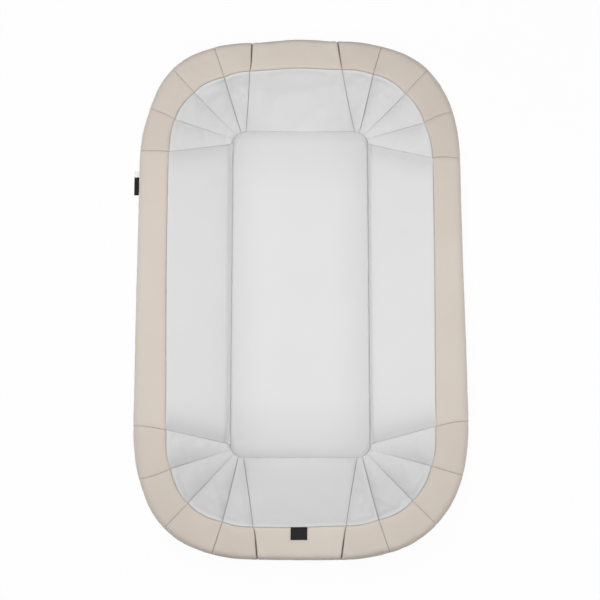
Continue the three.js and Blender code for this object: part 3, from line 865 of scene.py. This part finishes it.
def zip_metal():
    finish = Finish("zip_metal", Metallic=1.0)
    scuffs = finish.noise(90.0, 6.0)
    grain = finish.noise(1600.0)
    worn = ((scuffs - 0.52) * 9).limited()
    metal = finish.mixed(worn, colour(178, 178, 181), colour(206, 206, 208))
    return finish.finished(metal, grain + scuffs * 0.6, 0.00002, 0.4,
                           roughness=0.4 - worn * 0.12 + grain * 0.1)


def satin(name, dark, pale):
    finish = Finish(name, Roughness=0.6, Specular_IOR_Level=0.12)
    across, out, edge = finish.weave()
    floats = waves(out + across * 0.25, pitch=0.0005)
    warp = waves(across, pitch=0.0004)
    threads = floats * 0.7 + warp * 0.3
    cloth = finish.mixed(threads, dark, pale)
    cloth = finish.mixed(close_to(edge, 0.0007) * 0.5, cloth, dark)
    return finish.finished(cloth, threads, 0.00008, 0.6, roughness=0.55 + threads * 0.16)


FINISHES = {
    "lining": spacer_mesh(),
    "rim": jersey(),
    "foam": foam(),
    "canvas": canvas(),
    "tape": tape(),
    "thread": thread(),
    "coil": coil(),
    "metal": zip_metal(),
    "black_satin": satin("label_black", colour(12, 12, 13), colour(34, 34, 36)),
    "white_satin": satin("label_white", grey(224), grey(240)),
}


# The padded wall: lining and rim of each panel

OUTWARD_ROWS = {"lining": 36, "rim": 34}
CLOTH_STEP = 3.2
TRIAL_ROWS = {"lining": 24, "rim": 15}
TRIAL_STEP = 5.2
PRESS_LIMIT = {"lining": 2.0, "rim": 0.8}
DEEPEST = 6.0
# Painted shade on the rim's corners, as dark as in a hollow this deep
RIM_CORNER_SHADE = 0.35


def panel_width(panel):
    """A panel's width along the rim's edge."""
    _, _, edge = panel.rays(np.linspace(0, 1, 9))
    return run_along(edge)[-1]


def lines_across(panel, step, least):
    """How many lines a panel's grid has if they lie about a step apart at the rim's edge."""
    return max(least, round(panel_width(panel) / step))


def trial_grid(panel, kind):
    shares = np.linspace(0, 1, lines_across(panel, TRIAL_STEP, 12))
    return sewn(panel, kind, shares, np.linspace(0, 1, TRIAL_ROWS[kind]))[0]


def panel_form(panel, kind, moves):
    shares = clustered(lines_across(panel, CLOTH_STEP, 30))
    outs = clustered(OUTWARD_ROWS[kind])
    front, back, inward = sewn(panel, kind, shares, outs)
    if moves is not None:
        front = front + carried(moves, shares, outs)
    front, back = [opened(panel, kind, grid, shares, outs) for grid in (front, back)]
    shades = zip(panel.at_ends(SEAM_SHADE[kind]), seam_shows(panel, kind, outs))
    shades = [shade * (LEAST_SHADE + (1 - LEAST_SHADE) * shows) for shade, shows in shades]
    distances = seam_distances(front, shares, shades, hidden=kind == "lining")
    # Painted shade: the rim's corners are darkened, and every panel as deep as its seams draw it in
    turned = RIM_CORNER_SHADE if kind == "rim" and panel.wall in CORNERS else 0
    return closed_form(front, back, cloth_places(front, shares, distances),
                       hollow=turned + inward / DEEPEST)


def make_wall():
    covers = [(panel, kind) for panel in WALL for kind in SURFACES]
    moves = [None] * len(covers)
    moves = pressed_out([trial_grid(panel, kind) for panel, kind in covers],
                        [PRESS_LIMIT[kind] for _, kind in covers])
    forms = {}
    for (panel, kind), move in zip(covers, moves):
        forms.setdefault((kind, panel.wall), []).append(panel_form(panel, kind, move))
    for (kind, wall), panels in forms.items():
        piece = make_piece(f"{kind}_panel_{wall}", panels, kind,
                           nodes=[f"{kind}_{wall}"])


# The side below the rim

SIDE_BULGE_HEIGHT = 37.0
SIDE_BULGE = 4.0
SIDE_LOWER_TUCK = 12.0
SIDE_LOWER_POWER = 3.5
SIDE_UPPER_TUCK = 2.0
SIDE_TOP_GAP = 0.006
SIDE_LENGTH = 55.0
SIDE_STEP = 6.0
SIDE_RIPPLE = 0.45
# Ripples along the side's cloth: how many go round, their share and where they start
SIDE_RIPPLES = ((23, 1, 0), (37, 0.8, 1.3), (61, 0.5, 0.4))
FAR_FROM_SEAMS = 10.0


def side_profile(shares, stand):
    """Distance out from the rim's edge and height, from the rim down to the base's outline."""
    height = SIDE_SEAM_HEIGHT + (BASE_TOP - SIDE_SEAM_HEIGHT) * shares
    above = height - SIDE_BULGE_HEIGHT
    lower = np.clip(-above / (SIDE_BULGE_HEIGHT - BASE_TOP), 0, 1) ** SIDE_LOWER_POWER
    upper = np.clip(above / (SIDE_SEAM_HEIGHT - SIDE_BULGE_HEIGHT), 0, 1) ** 2
    tuck = (SIDE_LOWER_TUCK + stand[:, None]) * lower + SIDE_UPPER_TUCK * upper
    return SIDE_BULGE - tuck, height


def beside_rim(inner, edge, out, height):
    """Points at distances out from the rim's edge, along rays, and at heights."""
    return raised(edge[:, None] + unit(edge - inner)[:, None] * out[..., None], height)


def make_side():
    parts = []
    for panel in WALL:
        shares = np.linspace(0, 1, lines_across(panel, SIDE_STEP, 14) + 1)[:-1]
        parts.append((*panel.rays(shares)[1:], panel.stand(shares)))
    inner, edge, stand = [np.concatenate(part) for part in zip(*parts)]
    shares = np.linspace(SIDE_TOP_GAP, 1, 18)
    out, height = side_profile(shares, stand)
    run = run_along(np.append(edge, edge[:1], axis=0))
    run = np.minimum(run, run[-1] - run)[:-1, None]
    turn = np.arange(len(edge)) / len(edge) * 2 * math.pi
    ripple = sum(share * np.sin(count * turn + start) for count, share, start in SIDE_RIPPLES)
    give = SIDE_RIPPLE * ripple[:, None] * np.sin(math.pi * shares) ** 2
    front = beside_rim(inner, edge, out + give, height)
    back = beside_rim(inner, edge, out - CLOTH, height)
    places = stacked(run, shares * SIDE_LENGTH, FAR_FROM_SEAMS)
    form = closed_form(front, back, places / 1000, ring=True)
    make_piece("side_cloth", [form], "rim", nodes=["side_band"])


# The floor pad

FLOOR_CROWN = 16.0
FLOOR_BELLY_SHARE = 0.36
FLOOR_CREST = -26.0
FLOOR_SIDE_ROLL = 3.5
FLOOR_CORNER_ROLL = 16.0
FLOOR_CORNER_REACH = 40.0
FLOOR_END_ROLL = (84.0, 22.0)
FLOOR_PRESS_LIMIT = 1.2
# The painted shade in the crease along the floor's sides fades out over the second length,
# the first before the ends
FLOOR_CREASE_FADES = (45.0, 25.0)


def floor_grid(rows, columns, margin=SEAM_HALF_GAP):
    """The top of the pad, in rows from foot to head, each as wide as the rounded outline there."""
    half = FLOOR_HALF - [margin, FLOOR_END_GAP]
    radius = FLOOR_CORNER - margin
    place = rows * 2 - 1
    end = half[1] - np.abs(place) * half[1]
    into = np.clip(1 - end / radius, 0, 1)
    width = half[0] - radius + radius * np.sqrt(1 - into**2)
    width = (width + (margin - FLOOR_END_GAP) * ramp(into, 0, 0.5))[:, None]
    x = width * (columns * 2 - 1)[None]
    belly = 1 - ((x - FLOOR_CREST) / (half[0] - FLOOR_CREST)) ** 2
    corner_share = 1 - ramp(end, 0, FLOOR_CORNER_REACH)
    side_roll = FLOOR_SIDE_ROLL + (FLOOR_CORNER_ROLL - FLOOR_SIDE_ROLL) * corner_share
    crown = roll(width - np.abs(x), side_roll[:, None])
    crown = crown * (1 - FLOOR_BELLY_SHARE + FLOOR_BELLY_SHARE * belly)
    crown = crown * sum(soft_rise(end, length) / 2 for length in FLOOR_END_ROLL)[:, None]
    return stacked(x, (place * half[1] + FLOOR_SHIFT)[:, None], VALLEY + FLOOR_CROWN * crown)


def make_floor():
    rows, columns = clustered(130), clustered(64)
    front = floor_grid(rows, columns)
    trial = floor_grid(np.linspace(0, 1, 100), np.linspace(0, 1, 44))
    front = front + carried(pressed_out([trial], [FLOOR_PRESS_LIMIT])[0], rows, columns)
    back = front - [0, 0, CLOTH]
    half = FLOOR_HALF - SEAM_HALF_GAP
    reach, length = FLOOR_CREASE_FADES
    near_end = ramp(np.abs(front[..., 1] - FLOOR_SHIFT), half[1] - reach, length)
    seam = np.maximum(half[0] - np.abs(front[..., 0]), 0) + SEAM_SHADE_WIDTH * near_end
    form = closed_form(front, back, raised(front, seam) / 1000)
    piece = make_piece("floor_cover", [form], "lining", nodes=["lining_floor"])


# Foam under the cloth

FOAM_FIT = 0.4
FOAM_END = 1.0
FOAM_STEP = 8
# Where the foam's outer side starts and ends, as shares of the side below the rim
FOAM_SIDE = (0.1, 0.96)


def foam_form(panel):
    """A core that fills a panel down to the base, a little short of both seams."""
    end = FOAM_END / panel_width(panel)
    shares = end + clustered(lines_across(panel, FOAM_STEP, 10)) * (1 - 2 * end)
    strips = [sewn(panel, kind, shares, clustered(14), FOAM_FIT)[1] for kind in SURFACES]
    _, inner, edge = panel.rays(shares)
    out, height = side_profile(np.linspace(*FOAM_SIDE, 7), panel.stand(shares))
    strips.append(beside_rim(inner, edge, out - CLOTH - FOAM_FIT, height))
    front = np.concatenate(strips, axis=1)
    across = np.linspace(0, 1, front.shape[1])[:, None]
    plan = front[:, :1, :2] * (1 - across) + front[:, -1:, :2] * across
    back = raised(plan, BASE_TOP)
    return closed_form(front, back, cloth_places(front, shares, seam_distances(front, shares)))


def make_foam():
    cores, numbers = [], {}
    for panel in WALL:
        number = numbers[panel.wall] = numbers.get(panel.wall, 0) + 1
        suffix = f"_{number}" if panel.wall in CORNERS else ""
        cores.append((panel.wall + suffix, foam_form(panel)))
    front = floor_grid(clustered(44), clustered(20), FOAM_END) - [0, 0, CLOTH + FOAM_FIT]
    cores.append(("floor", closed_form(front, raised(front[..., :2], BASE_TOP), front)))
    for name, form in cores:
        piece = make_piece(f"core_{name}", [form], "foam", nodes=[f"foam_{name}"], sharp=40)


# Base: two panels, a tab past each end of the zip, and the stitches that hold them

BASE_HALF = RIM_HALF - 5.0
BASE_EDGE_ROLL = 3.0
BASE_UPPER_ROLL = 0.6
BASE_STITCH_MARGIN = 9.0
BASE_STITCH_HEIGHT = 0.5
BASE_GROOVE = 0.7
GROOVE_HALF_WIDTH = 2.0
# How far a stitch stands out in its middle and sinks in at its ends, and how thin it is there,
# against its radius
STITCH_RISE = 0.9
STITCH_SINK = 0.5
STITCH_END = 0.55
ZIP_PLACE = -170.0
ZIP_GAP_HALF = 12.0
ZIP_FIT = 0.3
TAB_START = 250.5
TAB_EDGE_ROLL = 2.0
TAB_STITCH_MARGIN = 4.0
TAB_STITCH_HALF = 8
TAB_STITCH_HEIGHT = 0.1
# How far the pattern of a thread or wire runs from one of its points to the next, round and along
THREAD_TURN = 0.1
THREAD_RUN = 0.4
DOWN = np.array([0, 0, -1.0])


def edge_distance(plan):
    """How far each point of a grid lies from the grid's border."""
    border = border_of(plan)
    start, way = border[:-1], np.diff(border, axis=0)
    length = np.maximum((way**2).sum(axis=-1), 1e-9)
    offset = plan.reshape(-1, 1, 2) - start
    share = np.clip((offset * way).sum(axis=-1) / length, 0, 1)
    nearest = lengths(offset - way * share[..., None]).min(axis=1)
    return nearest.reshape(plan.shape[:2])


def slab_form(low, high, y, columns, bottom, thickness, radius, groove=0.0):
    """A slab of cloth in rows along y, rounded below, drawn in where it is stitched."""
    plan = stacked(low[:, None] + (high - low)[:, None] * columns, y[:, None])
    edge = edge_distance(plan)
    rounded = radius * (1 - roll(edge, radius))
    upper = min(radius, BASE_UPPER_ROLL)
    sewn_in = groove * np.exp(-((edge - BASE_STITCH_MARGIN) / GROOVE_HALF_WIDTH) ** 2)
    front = raised(plan, bottom + thickness - upper * (1 - roll(edge, upper)))
    back = raised(plan, bottom + rounded + sewn_in)
    return closed_form(front, back, raised(plan, edge) / 1000)


def tubes(paths, radius, reference):
    """Threads or wires along paths, six-sided and closed at both ends."""
    sides = 6
    tangent = unit(np.gradient(paths, axis=1))
    side = unit(np.cross(tangent, reference))
    up = np.cross(side, tangent)
    angle = np.arange(sides) * 2 * math.pi / sides
    ring = side[..., None, :] * np.cos(angle)[:, None] + up[..., None, :] * np.sin(angle)[:, None]
    points = paths[..., None, :] + ring * np.broadcast_to(radius, paths.shape[:2])[..., None, None]
    count, length = paths.shape[:2]
    start, k = np.arange(length - 1)[:, None] * sides, np.arange(sides)
    quads = stacked(start + k, start + sides + k, start + sides + (k + 1) % sides,
                    start + (k + 1) % sides).reshape(-1, 4)
    caps = np.array([[0, 1, 2, 3], [0, 3, 4, 5], [3, 2, 1, 0], [5, 4, 3, 0]])
    caps[2:] += (length - 1) * sides
    offsets = np.arange(count) * length * sides
    every = np.concatenate([quads, caps])[None] + offsets[:, None, None]
    weave = stacked(k * THREAD_TURN, np.arange(length)[:, None] * THREAD_RUN, FAR_FROM_SEAMS)
    return Form(points, every.reshape(-1, 4), np.tile(weave, (count, 1, 1, 1)) / 1000)


def stitch_form(line, length, gap, radius):
    """Stitches under a line of points, each sinking into the cloth at both ends."""
    run = run_along(line)
    starts = np.arange(gap, run[-1] - length - gap, length + gap)
    along = np.linspace(0, 1, 6)
    places = starts[:, None] + along * length
    path = stacked(*[np.interp(places, run, column) for column in line.T])
    arch = (1 - (along * 2 - 1) ** 4) * radius * STITCH_RISE - radius * STITCH_SINK
    thick = radius * (STITCH_END + (1 - STITCH_END) * np.sin(math.pi * along))
    return tubes(path + DOWN * arch[:, None], thick, DOWN)


def make_base():
    stitches = []
    panels = {
        "head": (ZIP_PLACE + ZIP_GAP_HALF, BASE_HALF[1]),
        "foot": (-BASE_HALF[1], ZIP_PLACE - ZIP_GAP_HALF),
    }
    for name, (start, end) in panels.items():
        y = start + (end - start) * clustered(90)
        half = reach_beside(BASE_HALF, np.clip(y, -BASE_HALF[1], BASE_HALF[1]), 1)
        form = slab_form(-half, half, y, clustered(60), 0, BASE_THICKNESS, BASE_EDGE_ROLL,
                         BASE_GROOVE)
        make_piece(f"underside_{name}", [form], "canvas", nodes=[f"base_{name}"],
                   sharp=60)
        inside = (y > start + BASE_STITCH_MARGIN) & (y < end - BASE_STITCH_MARGIN)
        right = stacked(half - BASE_STITCH_MARGIN, y, BASE_STITCH_HEIGHT)[inside]
        line = np.concatenate([right, right[::-1] * [-1, 1, 1], right[:1]])
        stitches.append(stitch_form(line, length=3.2, gap=0.9, radius=0.28))
    for name, sign in (("left", -1), ("right", 1)):
        y = ZIP_PLACE + (ZIP_GAP_HALF - ZIP_FIT) * np.linspace(-1, 1, 16)
        outer = reach_beside(BASE_HALF, y, 1)
        edges = sorted([(sign * TAB_START + 0 * y), sign * outer], key=lambda edge: edge[0])
        form = slab_form(*edges, y, clustered(14), 0, BASE_THICKNESS, TAB_EDGE_ROLL)
        make_piece(f"zip_end_{name}", [form], "canvas", nodes=[f"base_tab_{name}"],
                   sharp=60)
        x = sign * (TAB_START + TAB_STITCH_MARGIN)
        ends = [(x, ZIP_PLACE + way * TAB_STITCH_HALF, TAB_STITCH_HEIGHT) for way in (-1, 1)]
        stitches.append(stitch_form(np.array(ends), length=2.4, gap=0.6, radius=0.28))
    make_piece("base_stitches", stitches, "thread", sharp=80)


# Zip in the base

COIL_HALF_LENGTH = 230.0
COIL_HEIGHT = 5.8
COIL_HALF_HEIGHT = 0.9
COIL_REACH = (0.9, 3.1)
COIL_PITCH = 1.6
COIL_WIRE = 0.32
TAPE_REACH = (3.4, 11.7)
TAPE_BOTTOM = 5.5
TAPE_THICKNESS = 0.6
TAPE_EDGE_ROLL = 0.25
TAPE_STITCH_MARGIN = 2.2
TAPE_STITCH_END = 4.0


def make_zip():
    turns = 2 * COIL_HALF_LENGTH / COIL_PITCH
    angle = np.linspace(0, turns * 2 * math.pi, int(turns * 10))
    x = np.linspace(COIL_WIRE - COIL_HALF_LENGTH, COIL_HALF_LENGTH - COIL_WIRE, len(angle))
    half_width = (COIL_REACH[1] - COIL_REACH[0]) / 2
    for name, sign in (("head", 1), ("foot", -1)):
        middle = ZIP_PLACE + sign * sum(COIL_REACH) / 2
        y = middle - sign * (half_width - COIL_WIRE) * np.cos(angle)
        z = COIL_HEIGHT + (COIL_HALF_HEIGHT - COIL_WIRE) * np.sin(angle)
        wire = tubes(stacked(x, y, z)[None], COIL_WIRE, np.array([1.0, 0, 0]))
        make_piece(f"teeth_{name}", [wire], "coil", nodes=[f"zip_coil_{name}"],
                   sharp=80)
        near, far = sorted(ZIP_PLACE + sign * np.array(TAPE_REACH))
        y = near + (far - near) * clustered(12)
        half = 0 * y + TAB_START - ZIP_FIT
        form = slab_form(-half, half, y, np.linspace(0, 1, 126), TAPE_BOTTOM, TAPE_THICKNESS,
                         TAPE_EDGE_ROLL)
        form.weave[:, 2] = FAR_FROM_SEAMS / 1000
        make_piece(f"tape_{name}", [form], "tape", nodes=[f"zip_tape_{name}"], sharp=60)
        y = ZIP_PLACE + sign * (TAPE_REACH[1] - TAPE_STITCH_MARGIN)
        ends = [(way * (TAB_START - TAPE_STITCH_END), y, TAPE_BOTTOM) for way in (-1, 1)]
        form = stitch_form(np.array(ends), length=2.6, gap=0.7, radius=0.22)
        make_piece(f"tape_stitches_{name}", [form], "thread", sharp=80)
    for name in ("zip_stop_left", "zip_stop_right", "zip_slider", "zip_pull"):
        for place in bpy.data.objects[name].material_slots:
            place.material = FINISHES["metal"]


# Labels

LABEL_HALF = 0.4
# At a cut edge a ribbon is this much of its thickness, which grows to the full over the roll
LABEL_EDGE = 0.35
LABEL_EDGE_ROLL = 0.5
# A ribbon's size across and outwards, from which the distance to its cut edges is taken
RIBBON = (27, 18)
FOOT_LABEL = {"left": -15.5, "right": 11.5, "start": -389.3, "end": -408.0, "length": 21.0}
LABEL_SLANT = 0.026
# The foot label lies this far off the cloth, and its free end is raised from a share of its length
LABEL_GAP = 0.3
LABEL_CURL = 0.7
LABEL_CURL_FROM = 0.35
# How much the label keeps to one slope instead of following the cloth
LABEL_EVENNESS = 3
SIDE_TAG = {"root": -275.5, "tip": -287.0, "start": 166.0, "end": 209.0, "white_from": 198.0}
TAG_PARTING = 0.15
TAG_RIPPLE = 0.5
TAG_RIPPLE_LENGTH = 9.0
TAG_CLOTH = 9


def strip_form(centre, normal, shares, places):
    """A strip of ribbon around a grid of points, thinned towards its cut edges."""
    along, out = [np.minimum(share, 1 - share) * size for share, size in zip(shares, RIBBON)]
    edge = np.minimum(along[:, None], out)
    thickness = LABEL_EDGE + (1 - LABEL_EDGE) * roll(edge, LABEL_EDGE_ROLL)
    half = LABEL_HALF * thickness[..., None]
    return closed_form(centre + normal * half, centre - normal * half, raised(places, edge) / 1000)


def make_foot_label():
    """Lies over the rim, its free end a little off the cloth, and bends at its seam."""
    rim = bpy.data.objects["rim_panel_foot"].data
    tree = BVHTree.FromPolygons([vertex.co for vertex in rim.vertices],
                                [polygon.vertices for polygon in rim.polygons])
    acrosses, outs = clustered(22), clustered(26)
    span = FOOT_LABEL["right"] - FOOT_LABEL["left"]
    x = FOOT_LABEL["left"] + span * acrosses
    y = FOOT_LABEL["start"] + (FOOT_LABEL["end"] - FOOT_LABEL["start"]) * outs
    centre = np.empty((len(acrosses), len(outs), 3))
    normal = np.empty_like(centre)
    for i, place in enumerate(x):
        for j, way in enumerate(y):
            hit, face, _, _ = tree.ray_cast(Vector((place, way, 200)) / 1000, Vector((0, 0, -1)))
            normal[i, j] = face
            centre[i, j] = hit * 1000
    normal = unit(normal + normal.mean(axis=0) * LABEL_EVENNESS)
    curl = np.clip((outs - LABEL_CURL_FROM) / (1 - LABEL_CURL_FROM), 0, 1) ** 2
    lift = LABEL_HALF + LABEL_GAP + LABEL_CURL * curl
    centre += normal * lift[:, None]
    centre[:, :, 0] += (centre[:, :, 1] - FOOT_LABEL["start"]) * LABEL_SLANT
    places = stacked((acrosses * span)[:, None], outs * FOOT_LABEL["length"])
    strip = strip_form(centre, normal, (acrosses, outs), places)
    label = make_piece("label_at_foot", [strip], "black_satin", nodes=["foot_label"],
                       body=None)
    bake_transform(label)


def make_side_tag():
    """A ribbon folded double: its black part towards the foot, its white part towards the head."""
    outs = clustered(16)
    x = SIDE_TAG["root"] + (SIDE_TAG["tip"] - SIDE_TAG["root"]) * outs
    parts = {
        "tag_black": (SIDE_TAG["start"], SIDE_TAG["white_from"] - TAG_PARTING, ["side_tag"]),
        "tag_white": (SIDE_TAG["white_from"] + TAG_PARTING, SIDE_TAG["end"], []),
    }
    for name, (start, end, nodes) in parts.items():
        acrosses = clustered(20)
        y = start + (end - start) * acrosses
        ripple = TAG_RIPPLE * np.sin(y / TAG_RIPPLE_LENGTH)[:, None] * outs
        centre = stacked(x, y[:, None], SIDE_SEAM_HEIGHT + ripple)
        places = stacked((y[::-1] - start)[:, None], outs * TAG_CLOTH)
        strip = strip_form(centre[::-1], np.array([0.0, 0.0, 1.0]), (acrosses, outs), places)
        make_piece(name, [strip], name.replace("tag_", "") + "_satin", nodes=nodes,
                   body="side_tag")


# Floor, lamps and camera. The lamps' and the camera's sizes and places are in metres

STUDIO_HALF = 6000.0
STUDIO_HEIGHT = -0.8
FLOOR_GLOW = 0.95
AIR_LIGHT = 0.03
CAMERA_PLACE = (-0.0005, -0.1764, 1.4657)
CAMERA_TILT = 6.5
# Each lamp's place, size and power. All of them look at the middle of the base
LAMPS = {
    "overhead_light": ((-0.06, -0.02, 1.5), (1.8, 0.2), 21.2),
    "left_light": ((-1.7, 0, 0.75), (0.5, 0.3), 9),
    "right_light": ((1.7, 0, 0.75), (0.5, 0.3), 8),
}


def looked_at(start):
    """1 for a ray that the camera looks along, also by way of a mirror or glass, else 0."""
    rays = ("Is Camera Ray", "Is Glossy Ray", "Is Transmission Ray")
    return sum(start.node("ShaderNodeLightPath", output=name) for name in rays)


def make_studio():
    corners = np.array([(-1, -1), (1, -1), (1, 1), (-1, 1)]) * STUDIO_HALF
    floor = joined("studio_floor", [raised(corners, STUDIO_HEIGHT)], [np.array([[0, 1, 2, 3]])])
    finish = Finish("studio_white", Roughness=0.9, Base_Color=(0.85, 0.85, 0.85, 1))
    glow = finish.start.node("ShaderNodeEmission", {"Color": (1, 1, 1, 1), "Strength": 1.0})
    inputs = {0: looked_at(finish.start) * FLOOR_GLOW, 2: glow,
              1: Shade(finish.tree, finish.shader.outputs[0])}
    both = finish.start.node("ShaderNodeMixShader", inputs)
    finish.tree.links.new(both.socket, finish.tree.nodes["Material Output"].inputs[0])
    floor.data.materials.append(finish.material)

    world = bpy.data.worlds.new("studio_air")
    bpy.context.scene.world = world
    world.use_nodes = True
    air = world.node_tree.nodes["Background"]
    air.inputs["Color"].default_value = (1, 1, 1, 1)
    strength = looked_at(Shade(world.node_tree)) * (1 - AIR_LIGHT) + AIR_LIGHT
    world.node_tree.links.new(strength.socket, air.inputs["Strength"])

    for name, (place, size, power) in LAMPS.items():
        lamp = bpy.data.lights.new(name, "AREA")
        lamp.shape = "RECTANGLE"
        lamp.size, lamp.size_y = size
        lamp.energy = power
        lamp_object = placed(name, lamp)
        lamp_object.location = place
        lamp_object.rotation_euler = (-Vector(place)).to_track_quat("-Z", "Y").to_euler()

    lens = bpy.data.cameras.new("camera")
    lens.lens = 50
    lens.sensor_width = 36
    camera = placed("camera", lens)
    camera.location = CAMERA_PLACE
    camera.rotation_euler = (math.radians(CAMERA_TILT), 0, 0)
    bpy.context.scene.camera = camera
    bpy.context.scene.view_settings.view_transform = "Standard"


make_studio()
make_wall()
make_side()
make_floor()
make_foam()
make_base()
make_zip()
make_foot_label()
make_side_tag()
